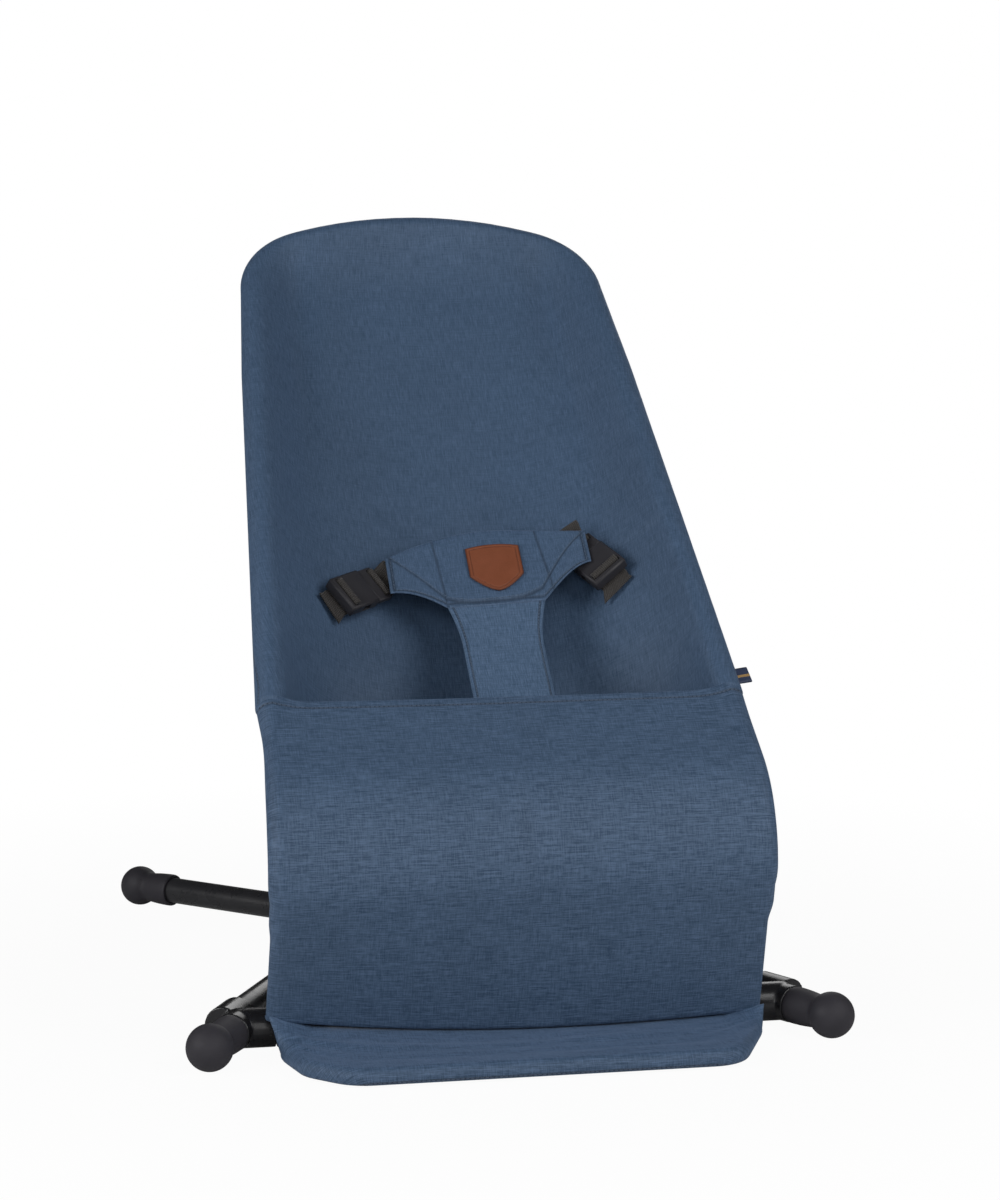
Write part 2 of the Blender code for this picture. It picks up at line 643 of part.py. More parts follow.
def cross_bow(name, rail_up, rack_up, metal, seat):
    """A bent rod from rail to rail behind the sling, straight where it passes through the rack."""
    half = rail_half(rail_up)
    lean_in, lean_back = math.sin(BOW_LEAN), math.cos(BOW_LEAN)
    first, second = [on_back(half - lean_in * reach, rail_up, -lean_back * reach)
                     for reach in (RAIL_RADIUS + CLEARANCE, RACK_DEPTH * 0.6)]
    points = [first, second, on_back(half - BOW_SHOULDER, rack_up, -RACK_DEPTH),
              on_back(0.0, rack_up, -RACK_DEPTH)]
    side = bend_path(points, BOW_BENDS, RAIL_STEP)
    path = side + [point for point in reversed(mirror_path(side))][1:]
    return tube(name, path, BOW_RADIUS, metal, seat, 0.0, 12)


def recline_rack(plastic, seat):
    """The bar that the slider runs on: an end block on each cross bow, and a groove with notches."""
    middle = RACK_START + RACK_LENGTH / 2
    turn = frame_matrix(on_back(0, middle, -RACK_DEPTH), ACROSS, BACK_UP, BACK_OUT)
    bar = block_mesh((RACK_WIDTH, RACK_LENGTH, RACK_THICKNESS), turn)
    ends, cuts = [], []
    for up in (RACK_START, RACK_START + RACK_LENGTH):
        place = frame_matrix(on_back(0, up, -RACK_DEPTH), ACROSS, BACK_UP, BACK_OUT)
        ends.append(block_mesh((RACK_END_WIDTH, RACK_END_LENGTH, RACK_END_DEPTH), place))
        cuts.append(round_bar_mesh(on_back(-0.02, up, -RACK_DEPTH), on_back(0.02, up, -RACK_DEPTH),
                                   BOW_RADIUS + CLEARANCE))
    rear = -RACK_DEPTH - RACK_THICKNESS / 2
    groove = frame_matrix(on_back(0, middle, rear), ACROSS, BACK_UP, BACK_OUT)
    groove_width = 2 * (PLUNGER_RADIUS + 2 * CLEARANCE)
    cuts.append(block_mesh((groove_width, RACK_LENGTH - RACK_END_LENGTH - 0.001, 2 * RACK_GROOVE), groove))
    for seat_turn in RECLINE_STEPS:
        up = slider_up(seat_turn) - PLUNGER_OFFSET
        place = frame_matrix(on_back(0, up, rear), ACROSS, BACK_UP, BACK_OUT)
        notch = (RACK_WIDTH * 0.7, 2 * PLUNGER_RADIUS + 0.001, 1.2 * RACK_GROOVE)
        cuts.append(block_mesh(notch, place))
    return shaped("recline_rack", bar, ends, cuts, plastic, seat)


def slider_up(recline):
    """How far up the rack the stay's bar lies when the seat has turned by this angle."""
    stay = STAY_ANGLE + STAY_RATIO * recline
    y = STAY_PIVOT_Y + STAY_LENGTH * math.cos(stay) - CROSSBAR_BACKSET
    z = STAY_PIVOT_Z + STAY_LENGTH * math.sin(stay) - AXLE_Z
    back_y = y * math.cos(-recline) - z * math.sin(-recline)
    back_z = y * math.sin(-recline) + z * math.cos(-recline)
    from_corner = Vector((0, back_y + CROSSBAR_BACKSET - SEAT_CORNER_Y, back_z + AXLE_Z - SEAT_CORNER_Z))
    return from_corner.dot(BACK_UP)


def stay_parts(lug_inner, metal, plastic, stay):
    """A bow that props up the backrest, and the hub that it turns on at the waist."""
    pivot = Vector((0, STAY_PIVOT_Y, STAY_PIVOT_Z))
    top = Vector((0, STAY_TOP_Y, STAY_TOP_Z))
    along = (top - pivot).normalized()
    foot = pivot + along * (STAY_HUB_RADIUS + 0.001)
    points = [foot + ACROSS * STAY_HALF, top + ACROSS * STAY_HALF, top]
    half = bend_path(points, [STAY_BEND], math.radians(18))
    path = half + [point for point in reversed(mirror_path(half))][1:]
    tube("stay_bow", path, STAY_TUBE_RADIUS, metal, stay, STAY_TUBE_WALL, 10)
    width = lug_inner - CLEARANCE
    barrel = round_bar_mesh(pivot - ACROSS * width, pivot + ACROSS * width, STAY_HUB_RADIUS - 0.0002, 16)
    spigots = []
    for side in (-1, 1):
        centre = pivot + ACROSS * side * STAY_HALF
        spigots.append(round_bar_mesh(centre + along * HUB_SPIGOT_START, centre + along * HUB_SPIGOT_END,
                                      STAY_TUBE_RADIUS - STAY_TUBE_WALL - CLEARANCE, 10))
    bore = round_bar_mesh(pivot - ACROSS * (width + 0.004), pivot + ACROSS * (width + 0.004),
                          STAY_PIN_RADIUS + RUNNING)
    shaped("stay_hub", barrel, spigots, [bore], plastic, stay)


def slider_parts(plastic, steel, slider, plunger):
    """The slider on the rack, its pull plunger, and the spring that holds the plunger in."""
    rest = slider_up(0.0)
    front = -RACK_DEPTH + RACK_THICKNESS / 2 + 0.0045
    rear = -BAR_DEPTH - STAY_TUBE_RADIUS - 0.004
    length = SLIDER_BELOW + SLIDER_ABOVE
    up = rest + (SLIDER_ABOVE - SLIDER_BELOW) / 2
    body = block_mesh((2 * SLIDER_HALF, length, front - rear),
                      frame_matrix(on_back(0, up, (front + rear) / 2), ACROSS, BACK_UP, BACK_OUT), 0.0015)
    channel = block_mesh((RACK_WIDTH + 2 * SLIDER_SLACK, length + 0.01, RACK_THICKNESS + 2 * SLIDER_SLACK),
                         frame_matrix(on_back(0, up, -RACK_DEPTH), ACROSS, BACK_UP, BACK_OUT))
    bar_bore = round_bar_mesh(on_back(-0.03, rest, -BAR_DEPTH), on_back(0.03, rest, -BAR_DEPTH),
                              STAY_TUBE_RADIUS + RUNNING, 16)
    pin_up = rest - PLUNGER_OFFSET
    cap = rear + CAP_THICKNESS
    pin_bore = round_bar_mesh(on_back(0, pin_up, rear - 0.002), on_back(0, pin_up, -RACK_DEPTH),
                              PLUNGER_RADIUS + CLEARANCE, 12)
    spring_bore = round_bar_mesh(on_back(0, pin_up, cap), on_back(0, pin_up, -RACK_DEPTH),
                                 COLLAR_RADIUS + 0.0008, 16)
    shaped("recline_slider", body, [], [channel, bar_bore, pin_bore, spring_bore], plastic, slider)

    knob_back = rear - CLEARANCE - KNOB_HEIGHT
    collar_back = -RACK_DEPTH - RACK_THICKNESS / 2 - 0.0030
    collar_front = collar_back + COLLAR_THICKNESS
    tip = -RACK_DEPTH - RACK_THICKNESS / 2 + 0.0033
    profile = [(0.0, 0.0), (0.0, KNOB_RADIUS * 0.8), (0.0015, KNOB_RADIUS),
               (KNOB_HEIGHT - 0.0015, KNOB_RADIUS), (KNOB_HEIGHT, KNOB_RADIUS * 0.9),
               (KNOB_HEIGHT, PLUNGER_RADIUS)]
    for out, radius in ((collar_back, PLUNGER_RADIUS), (collar_back, COLLAR_RADIUS),
                        (collar_front, COLLAR_RADIUS), (collar_front, PLUNGER_RADIUS),
                        (tip, PLUNGER_RADIUS), (tip, 0.0)):
        profile.append((out - knob_back, radius))
    turned("lock_plunger", profile, on_back(0, pin_up, knob_back), BACK_OUT, plastic, plunger, 14)

    wire = SPRING_WIRE / 2
    low, high = cap + wire + CLEARANCE, collar_back - wire - CLEARANCE
    coil_radius = (PLUNGER_RADIUS + COLLAR_RADIUS) / 2 + CLEARANCE
    turns, per_turn = 4, 10
    path = []
    for index in range(turns * per_turn + 1):
        angle = 2 * math.pi * index / per_turn
        out = low + (high - low) * index / (turns * per_turn)
        path.append(on_back(coil_radius * math.cos(angle), pin_up + coil_radius * math.sin(angle), out))
    tube("lock_spring", path, wire, steel, slider, 0.0, 6)


def hem_row(centre, inward, out, radius, lift, wrap=WRAP_END):
    """Points of a hem around a tube, from its free end behind to where the cloth leaves the tube."""
    row = []
    for index in range(HEM_STEPS + 1):
        angle = wrap + (lift - wrap) * index / HEM_STEPS
        row.append(centre + (inward * math.cos(angle) + out * math.sin(angle)) * radius)
    return row


def cloth_row(centre, inward, out, radius, spine, depth, steps, wrap=WRAP_END):
    """One row of a cloth from a tube's hem to the spine, sagging by depth like a parabola."""
    steepness = 0.0
    if depth > 0.0:
        inset = 0.7 * radius
        run = (spine - centre).length
        square = (spine - centre).dot(inward) / run
        steepness = SLING_POWER * (depth + inset) / (run - inset) / square
    row = hem_row(centre, inward, out, radius, math.pi / 2 - math.atan(steepness), wrap)
    edge = row[-1]
    level = spine + out * (edge - spine).dot(out)
    fall = depth + (level - spine).dot(out) if depth > 0.0 else 0.0
    for index in range(1, steps + 1):
        share = 1.0 - index / steps
        row.append(level + (edge - level) * share - out * fall * (1.0 - share**SLING_POWER))
    return row


def sheet_from_rows(name, rows, thickness, material, parent, mirror=True):
    """A sheet through rows of points that run from one edge to the spine, and its mirror image."""
    bm = bmesh.new()
    grid = [[bm.verts.new(point) for point in row] for row in rows]
    for row, following in zip(grid, grid[1:]):
        for a, b, c, d in zip(row, row[1:], following[1:], following):
            bm.faces.new((a, b, c, d))
    if mirror:
        bmesh.ops.mirror(bm, geom=bm.verts[:] + bm.edges[:] + bm.faces[:], axis="X", merge_dist=1e-5)
    bmesh.ops.remove_doubles(bm, verts=bm.verts, dist=1e-5)
    item = from_bmesh(name, bm, material, parent)
    thick = item.modifiers.new("thickness", "SOLIDIFY")
    thick.thickness = thickness
    thick.offset = 0.0
    thick.use_even_offset = True
    return item


def back_sling(fabric, seat):
    """The hammock of the backrest: hems around the rails and the head bow, sagging between."""
    rows = []
    count = 9
    first, last = SLING_START, RAIL_STRAIGHT
    for index in range(count + 1):
        up = first + (last - first) * index / count
        half = rail_half(up)
        centre = on_back(half, up, 0.0)
        spine = on_back(0.0, up, 0.0)
        rows.append(cloth_row(centre, -ACROSS, BACK_OUT, HEM_RADIUS, spine, sling_depth(up), SLING_STEPS))
    pole = rows[-1][-1]
    path = [point for point in head_path(last) if point.x > -1e-6]
    for index in range(1, len(path)):
        before, point = path[index - 1], path[index]
        after = path[index + 1] if index + 1 < len(path) else Vector((-before.x, before.y, before.z))
        rise = (point - on_back(0, 0, 0)).dot(BACK_OUT)
        level = on_back(0.0, last, rise)
        inward = BACK_OUT.cross(after - before).normalized()
        row = cloth_row(point, inward, BACK_OUT, HEM_RADIUS, level, sling_depth(last) + rise, SLING_STEPS)
        row[-1] = pole
        rows.append(row)
    return sheet_from_rows("back_sling", rows, CLOTH, fabric, seat)


def seat_sling(fabric, seat):
    """The bottom of the seat, between the rails, from the back sling to behind the leg panel."""
    shares = [1.0 - step / SLING_STEPS for step in range(SLING_STEPS + 1)]
    edge_gap = RAIL_RADIUS + 2 * CLEARANCE
    stations = [(rail_half(SLING_START) - edge_gap) * share for share in shares]
    rows = [[on_back(x, SLING_START - 0.0005, sling_out(x, SLING_START)) for x in stations]]
    for index in range(SEAT_ROWS + 1):
        y = SEAT_BACK_Y + (SEAT_FRONT_Y - SEAT_BACK_Y) * index / SEAT_ROWS
        rise = ((y - SEAT_DIP_Y) / (SEAT_FRONT_Y - SEAT_DIP_Y)) ** 2
        z = SEAT_DIP_Z + (SEAT_FRONT_Z - SEAT_DIP_Z) * rise
        ahead = SEAT_EDGE_START + SEAT_EDGE_LENGTH * index / SEAT_ROWS
        half = SEAT_HALF + (KNEE_HALF - SEAT_HALF) * ahead / (SEAT_CORNER_Y - KNEE_Y) - edge_gap
        edge_y = SEAT_CORNER_Y - ahead
        edge_z = SEAT_CORNER_Z - ahead * math.tan(THIGH_ANGLE) - SEAT_EDGE_DROP
        rows.append([Vector((half * share, y + (edge_y - y) * share**2, z + (edge_z - z) * share**2))
                     for share in shares])
    return sheet_from_rows("seat_sling", rows, CLOTH, fabric, seat)


def leg_panel(fabric, seat):
    """The taut panel over the front of the rails, from the seat's edge over the knee to the floor."""
    rows = []
    corners = rail_points()
    path = bend_path(corners[1:5] + [on_back(rail_half(0.02), 0.02, 0.0)], RAIL_BENDS[1:], RAIL_STEP)
    path = [point for point in reversed(path)]
    start = Vector((SEAT_HALF, SEAT_CORNER_Y - 0.002, SEAT_CORNER_Z - 0.002))
    kept = [start] + [point for point in path if point.y < start.y - 0.008 and point.z > SHIN_Z - 0.008]
    for index, centre in enumerate(kept):
        before = kept[max(index - 1, 0)]
        after = kept[min(index + 1, len(kept) - 1)]
        along = after - before
        out = Vector((0, along.z, -along.y)).normalized()
        if index == 0:
            out = Vector((0, -math.sin(THIGH_ANGLE), math.cos(THIGH_ANGLE)))
        wrap = WRAP_END if centre.z > SHIN_Z + SHIN_BEND * 0.5 else math.radians(200)
        rows.append(cloth_row(centre, -ACROSS, out, HEM_RADIUS, Vector((0, centre.y, centre.z)), 0.0,
                              5, wrap))
    knee = kept[-1]
    fold_radius = 0.005
    count = 3
    bottom = Vector((KNEE_HALF, PANEL_BOTTOM_Y, PANEL_BOTTOM_Z))
    front = rows[-1][-1]
    for index in range(1, count + 1):
        share = index / count
        z = front.z + (bottom.z - front.z) * share
        y = front.y + (bottom.y - front.y) * share
        radius = HEM_RADIUS + (fold_radius - HEM_RADIUS) * share
        out = Vector((0, -1, 0))
        centre = Vector((knee.x + (HEM_RADIUS - radius), y + radius, z))
        rows.append(cloth_row(centre, -ACROSS, out, radius, Vector((0, centre.y, z)), 0.0, 5))
    return sheet_from_rows("leg_panel", rows, CLOTH, fabric, seat)


def foot_pocket(fabric, root):
    """The flap on the floor: its hem goes round the floor loop, and it rises to the leg panel."""
    half_loop = [point for point in loop_path() if point.x > -1e-6]
    rows = []
    kept = [point for point in half_loop if point.y < LOOP_SHOULDER_Y - 0.004]
    up = Vector((0, 0, 1))
    rear_y, rear_z = PANEL_BOTTOM_Y, PANEL_BOTTOM_Z - CLOTH - FLAP_GAP
    for index, centre in enumerate(kept):
        before = kept[max(index - 1, 0)]
        after = kept[min(index + 1, len(kept) - 1)]
        if index + 1 == len(kept):
            after = Vector((-before.x, before.y, before.z))
        inward = (after - before).cross(up).normalized()
        share = index / (len(kept) - 1)
        target = Vector(((LOOP_SHOULDER_HALF + POCKET_REACH) * (1 - share) ** 1.2, rear_y, rear_z))
        row = hem_row(centre, inward, up, LOOP_HEM, math.radians(96))
        edge = row[-1]
        for step in range(1, 6):
            row.append(edge.lerp(target, step / 5))
        rows.append(row)
    return sheet_from_rows("foot_pocket", rows, CLOTH, fabric, root)


def strip(name, rows, thickness, material, parent):
    """A flat piece of cloth or leather through rows of points, without a mirror image."""
    return sheet_from_rows(name, rows, thickness, material, parent, mirror=False)


def arm_out(side):
    """How far in front of the rails' plane the tip of one arm lies, above the sling."""
    rise = RIGHT_ARM_RISE if side > 0 else LEFT_ARM_RISE
    return sling_out(RESTRAINT_OFFSET + side * YOKE_HALF, ARM_UP) + rise


def restraint_out(x):
    """How far in front of the rails' plane the yoke lies, from its middle out to its arms."""
    away = (x - RESTRAINT_OFFSET) / YOKE_HALF
    twist = (arm_out(1) - arm_out(-1)) / 2
    lift = (arm_out(1) + arm_out(-1)) / 2 + RESTRAINT_DEPTH
    return -RESTRAINT_DEPTH + twist * away + lift * away**2


def crotch_stem(fabric, seat):
    """The upright of the restraint, from behind the leg panel up to the yoke."""
    rows = []
    count = 6
    low, high = -0.016, STEM_TOP - 0.001
    for index in range(count + 1):
        share = index / count
        up = low + (high - low) * share
        out = -0.012 + (restraint_out(RESTRAINT_OFFSET) + 0.012) * math.sin(share * math.pi / 2)
        half = STEM_HALF + 0.007 * max(0.0, share - 0.7) / 0.3
        rows.append([on_back(RESTRAINT_OFFSET + half * across, up, out)
                     for across in (-1, -0.5, 0, 0.5, 1)])
    return strip("crotch_stem", rows, RESTRAINT_CLOTH, fabric, seat)


def yoke_bounds(across):
    """The yoke's lower and upper edge at a place across it, from -1 at one arm to 1 at the other."""
    size = abs(across)
    bend = max(0.0, (size - STEM_SHARE) / (1.0 - STEM_SHARE))
    low = STEM_TOP + (0.024 + 0.005 * across) * math.sin(math.pi / 2 * bend)
    high = YOKE_TOP - (0.016 - 0.007 * across) * size**1.6
    return low, high


def waist_yoke(fabric, seat):
    """The crosspiece of the restraint, with an arm to each buckle."""
    rows = []
    stations = (-1.0, -0.85, -0.65, -STEM_SHARE, -0.25, 0.0, 0.25, STEM_SHARE, 0.65, 0.85, 1.0)
    for across in stations:
        low, high = yoke_bounds(across)
        x = RESTRAINT_OFFSET + YOKE_HALF * across
        rows.append([on_back(x, low + (high - low) * step / 4, restraint_out(x)) for step in range(5)])
    return strip("waist_yoke", rows, RESTRAINT_CLOTH, fabric, seat)


def leather_patch(leather, seat):
    """A plain shield of leather sewn to the front of the yoke."""
    gap = RESTRAINT_CLOTH / 2 + PATCH_THICKNESS / 2 + CLEARANCE
    rows = []
    for across in (-1, -0.6, 0, 0.6, 1):
        x = PATCH_X + PATCH_WIDTH / 2 * across
        top = PATCH_UP + PATCH_HEIGHT / 2 - 0.003 * across**2
        low = PATCH_UP - PATCH_HEIGHT / 2 + 0.014 * abs(across) ** 1.6
        out = restraint_out(x) + gap
        rows.append([on_back(x, low + (top - low) * step / 2, out) for step in range(3)])
    return strip("leather_patch", rows, PATCH_THICKNESS, leather, seat)


def side_label(fabric, seat):
    """A small folded tab sewn into the right rail's hem at the corner of the seat."""
    out = HEM_RADIUS + CLOTH / 2 + CLEARANCE
    place = on_back(SEAT_HALF + out + LABEL_WIDTH / 2, -0.004, 0.0)
    body = block_mesh((LABEL_WIDTH, LABEL_LENGTH, LABEL_THICKNESS),
                      frame_matrix(place, ACROSS, BACK_UP, BACK_OUT))
    return from_bmesh("side_label", body, fabric, seat)


def buckle_frame(side):
    """The centre of a buckle, the way out along it, across it, and its normal off the sling."""
    x = RIGHT_BUCKLE_X if side > 0 else LEFT_BUCKLE_X
    up = RIGHT_BUCKLE_UP if side > 0 else LEFT_BUCKLE_UP
    standoff = RIGHT_BUCKLE_STANDOFF if side > 0 else LEFT_BUCKLE_STANDOFF
    droop = RIGHT_BUCKLE_DROOP if side > 0 else LEFT_BUCKLE_DROOP
    ease = RIGHT_BUCKLE_EASE if side > 0 else LEFT_BUCKLE_EASE
    out = sling_out(x, up)
    slope = (sling_out(x + SLOPE_STEP, up) - out) / SLOPE_STEP
    tilt = math.atan(slope) - ease
    outward = ACROSS * side * math.cos(tilt) + BACK_OUT * math.sin(tilt)
    normal = BACK_OUT * math.cos(tilt) - ACROSS * side * math.sin(tilt)
    along = outward * math.cos(droop) - BACK_UP * math.sin(droop)
    return on_back(side * x, up, out + standoff), along, normal.cross(along), normal


def laid_row(centre, across, level_at):
    """A row across a webbing's end, laid on a surface that level_at gives at each place."""
    corner = on_back(0.0, 0.0, 0.0)
    flat = (across - BACK_OUT * across.dot(BACK_OUT)).normalized()
    row = []
    for hand in (-1, 0, 1):
        point = centre + flat * WEBBING_WIDTH / 2 * hand
        up = (point - corner).dot(BACK_UP)
        row.append(on_back(point.x, up, level_at(point.x, up)))
    return row


def under_arm(x, up):
    return restraint_out(x) - (RESTRAINT_CLOTH + WEBBING_THICKNESS) / 2 - 2 * CLEARANCE


def over_sling(x, up):
    return sling_out(x, up) + (CLOTH + WEBBING_THICKNESS) / 2 + STRAP_LIFT


def buckle(side, word, plastic, webbing, seat, tongue):
    """One side-release buckle with its webbing: the tongue is on the arm, the body on the sling."""
    middle, along, across, normal = buckle_frame(side)
    mouth = -BUCKLE_LENGTH / 2
    end = BUCKLE_LENGTH / 2

    def place(reach, lift=0.0):
        return frame_matrix(middle + along * reach + normal * lift, along, across, normal)

    def webbing_rows(stations):
        half = WEBBING_WIDTH / 2
        return [[middle + along * reach + normal * lift + across * half * hand for hand in (-1, 0, 1)]
                for reach, lift in stations]

    inner_width = BUCKLE_WIDTH - 2 * BUCKLE_WALL
    inner_height = BUCKLE_THICKNESS - 2 * BUCKLE_WALL
    slot_at = end - 0.0058
    slot_width = WEBBING_WIDTH + 0.0016
    shell = block_mesh((BUCKLE_LENGTH, BUCKLE_WIDTH, BUCKLE_THICKNESS), place(0.0), 0.0015)
    chamber = block_mesh((0.024, inner_width, inner_height), place(mouth + 0.010))
    window = block_mesh((0.008, BUCKLE_WIDTH + 0.01, inner_height - 0.001), place(mouth + 0.014))
    slot = block_mesh((BUCKLE_SLOT, slot_width, 2 * BUCKLE_THICKNESS), place(slot_at))
    shaped(f"buckle_body_{word}", shell, [], [chamber, window, slot], plastic, seat)

    plate_middle = mouth - TONGUE_LENGTH / 2 - 0.001
    bar = block_mesh((TONGUE_LENGTH, BUCKLE_WIDTH - 0.001, TONGUE_THICKNESS), place(plate_middle), 0.0008)
    prongs = [block_mesh((0.018, 0.0055, 0.003), place(mouth + 0.004))]
    for hand in (-1, 1):
        matrix = place(mouth + 0.0065)
        matrix.translation += across * hand * (inner_width / 2 - 2 * CLEARANCE - PRONG_WIDTH / 2)
        prongs.append(block_mesh((0.021, PRONG_WIDTH, 0.0040), matrix))
    hole_at = plate_middle - 0.0030
    hole = block_mesh((BUCKLE_SLOT, slot_width, 4 * TONGUE_THICKNESS), place(hole_at))
    shaped(f"buckle_tongue_{word}", bar, prongs, [hole], plastic, tongue)

    lift = TONGUE_THICKNESS / 2 + CLEARANCE + WEBBING_THICKNESS / 2
    plate_end = plate_middle - TONGUE_LENGTH / 2
    rows = webbing_rows([(plate_end + 0.001, lift), (hole_at, lift), (hole_at, -lift),
                         (plate_end - 0.004, -lift)])
    rows.append(laid_row(middle + along * (plate_end - 0.016), across, under_arm))
    strip(f"tongue_strap_{word}", rows, WEBBING_THICKNESS, webbing, tongue)
    lift = BUCKLE_THICKNESS / 2 + CLEARANCE + WEBBING_THICKNESS / 2
    rows = webbing_rows([(slot_at - 0.004, lift), (slot_at, lift), (slot_at, -lift), (end + 0.001, -lift)])
    rows.append(laid_row(middle + along * (end + 0.010), across, over_sling))
    strip(f"side_strap_{word}", rows, WEBBING_THICKNESS, webbing, seat)


def joint_empty(name, place, parent=None):
    made = bpy.data.objects.new(name, None)
    made.location = place
    bpy.context.scene.collection.objects.link(made)
    bpy.context.view_layer.update()
    if parent is not None:
        made.parent = parent
        made.matrix_parent_inverse = parent.matrix_world.inverted()
    return made


def build():
    clear_scene()
    metal = finish("black powder coated steel", (0.028, 0.028, 0.032), 0.42, 0.0)
    grey_metal = finish("grey coated steel", (0.10, 0.10, 0.105), 0.38, 0.4)
    steel = finish("zinc plated steel", (0.62, 0.62, 0.63), 0.35, 1.0)
    plastic = finish("black nylon moulding", (0.03, 0.03, 0.034), 0.35)
    rubber = finish("black rubber", (0.045, 0.043, 0.048), 0.75)
    fabric = finish("blue melange cloth", (0.055, 0.090, 0.145), 0.9)
    webbing = finish("black webbing", (0.025, 0.026, 0.03), 0.85)
    leather = finish("tan leather", (0.30, 0.10, 0.045), 0.6)
    label_cloth = finish("navy label tape", (0.03, 0.05, 0.11), 0.8)

    root = joint_empty("base_frame", (0, 0, 0))
    seat = joint_empty("seat_recline", (0, CROSSBAR_BACKSET, AXLE_Z), root)
    stay = joint_empty("stay_fold", (0, STAY_PIVOT_Y, STAY_PIVOT_Z), root)
    slider = joint_empty("slider_turn", (0, STAY_TOP_Y, STAY_TOP_Z), stay)
    pin_up = slider_up(0.0) - PLUNGER_OFFSET
    plunger = joint_empty("plunger_pull", on_back(0, pin_up, -BAR_DEPTH), slider)

    crossbar(metal, root)
    for side, word in ((-1, "left"), (1, "right")):
        corner_fitting(f"corner_fitting_{word}", side, plastic, root)
        side_tube(f"side_tube_{word}", side, grey_metal, root)
        elbow, foot, forward = foot_line(side)
        ball_foot(f"foot_front_{word}", foot, -forward, rubber, root)
        rear_foot, outward = side_points(side)[3:]
        ball_foot(f"foot_rear_{word}", rear_foot, -outward, rubber, root)
        loop_clamp(f"loop_clamp_{word}", side, plastic, root)
        hinge_knuckle(f"hinge_knuckle_{word}", side, plastic, seat)
        rail(f"rail_{word}", side, metal, seat)
        joiner(f"rail_joiner_{word}", side, steel, seat)
        tip, along = buckle_frame(side)[:2]
        tongue = joint_empty(f"buckle_{word}_release", tip, seat)
        buckle(side, word, plastic, webbing, seat, tongue)
    lug_inner = waist_parts(plastic, steel, root)
    floor_loop(metal, root)
    foot_pocket(fabric, root)
    head_bow(metal, seat)
    cross_bow("cross_bow_lower", RACK_START, RACK_START, metal, seat)
    cross_bow("cross_bow_upper", RAIL_STRAIGHT - 0.025, RACK_START + RACK_LENGTH, metal, seat)
    recline_rack(plastic, seat)
    stay_parts(lug_inner, metal, plastic, stay)
    slider_parts(plastic, steel, slider, plunger)
    back_sling(fabric, seat)
    seat_sling(fabric, seat)
    leg_panel(fabric, seat)
    crotch_stem(fabric, seat)
    waist_yoke(fabric, seat)
    leather_patch(leather, seat)
    side_label(label_cloth, seat)
    root.location.y = -MIDDLE_Y


build()
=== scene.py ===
"""Folding baby bouncer: its looks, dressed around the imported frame.

A hammock of blue melange cloth hangs on black steel rails that fold down on a low hourglass base.
Metres, +Z up, the front of the bouncer towards -Y.
"""

import json
from math import atan, ceil, cos, exp, pi, radians, sin, sqrt, tan

import bmesh
import bpy
import numpy as np
from mathutils import Matrix, Vector, noise

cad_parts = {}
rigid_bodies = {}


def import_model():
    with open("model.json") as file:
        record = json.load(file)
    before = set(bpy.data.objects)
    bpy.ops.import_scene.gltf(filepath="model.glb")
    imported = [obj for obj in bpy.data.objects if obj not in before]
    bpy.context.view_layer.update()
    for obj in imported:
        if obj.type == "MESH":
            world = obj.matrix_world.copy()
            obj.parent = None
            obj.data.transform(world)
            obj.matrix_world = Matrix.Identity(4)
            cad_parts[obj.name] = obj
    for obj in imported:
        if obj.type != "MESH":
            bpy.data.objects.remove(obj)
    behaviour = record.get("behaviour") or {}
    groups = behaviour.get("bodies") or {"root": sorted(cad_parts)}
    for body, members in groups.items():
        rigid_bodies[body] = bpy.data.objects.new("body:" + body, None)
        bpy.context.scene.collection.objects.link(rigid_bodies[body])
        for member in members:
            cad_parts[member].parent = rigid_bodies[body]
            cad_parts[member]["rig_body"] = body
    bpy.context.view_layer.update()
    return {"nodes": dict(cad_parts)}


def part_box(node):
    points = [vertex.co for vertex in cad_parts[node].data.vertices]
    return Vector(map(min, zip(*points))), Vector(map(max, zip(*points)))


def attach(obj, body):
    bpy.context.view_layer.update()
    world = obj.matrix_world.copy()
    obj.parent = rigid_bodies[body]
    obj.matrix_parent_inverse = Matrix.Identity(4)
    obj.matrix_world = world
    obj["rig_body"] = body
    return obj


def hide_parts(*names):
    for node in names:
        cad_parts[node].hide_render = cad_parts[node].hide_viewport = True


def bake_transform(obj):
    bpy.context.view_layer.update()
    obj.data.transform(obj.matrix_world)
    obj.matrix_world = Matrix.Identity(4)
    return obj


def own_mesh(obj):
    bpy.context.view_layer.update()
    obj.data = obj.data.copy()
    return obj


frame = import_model()

# The camera stands in front of the bouncer and a little to its left, just above it, with a long
# lens: the leg panel faces it, and the inside of the hammock shows above the knee.
lens = bpy.data.cameras.new("camera")
lens.sensor_width = 36.0
lens.lens = 86.55
camera = bpy.data.objects.new("camera", lens)
put_in_scene = bpy.context.scene.collection.objects.link
put_in_scene(camera)
camera.location = (-0.4181, -2.2243, 0.5551)
camera.rotation_euler = (radians(90.0 - 6.45), 0.0, radians(-11.4))
bpy.context.scene.camera = camera

# Front crossbar and the two side tubes of the hourglass base: round steel tube with a baked powder
# coat, black on the bar and dark grey on the sides, each pushed into a moulded corner fitting.
AXLE_BACKSET = 0.046
AXLE_Z = 0.017
BASE_TUBE_RADIUS = 0.011
FOOT_CENTRE_Z = 0.0164
SHORT_OF_BALL = 0.0083
bar_low, bar_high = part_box("front_crossbar")
FEET_Y = (bar_low.y + bar_high.y) / 2 - AXLE_BACKSET
ACROSS = Vector((1.0, 0.0, 0.0))


def spot(x, y, z):
    """A point by its place across, behind the front feet, and above the floor."""
    return Vector((x, FEET_Y + y, z))


def on_side(point, side):
    """A point of the right half as it is, or on the left half when the side is -1."""
    return Vector((side * point.x, point.y, point.z))


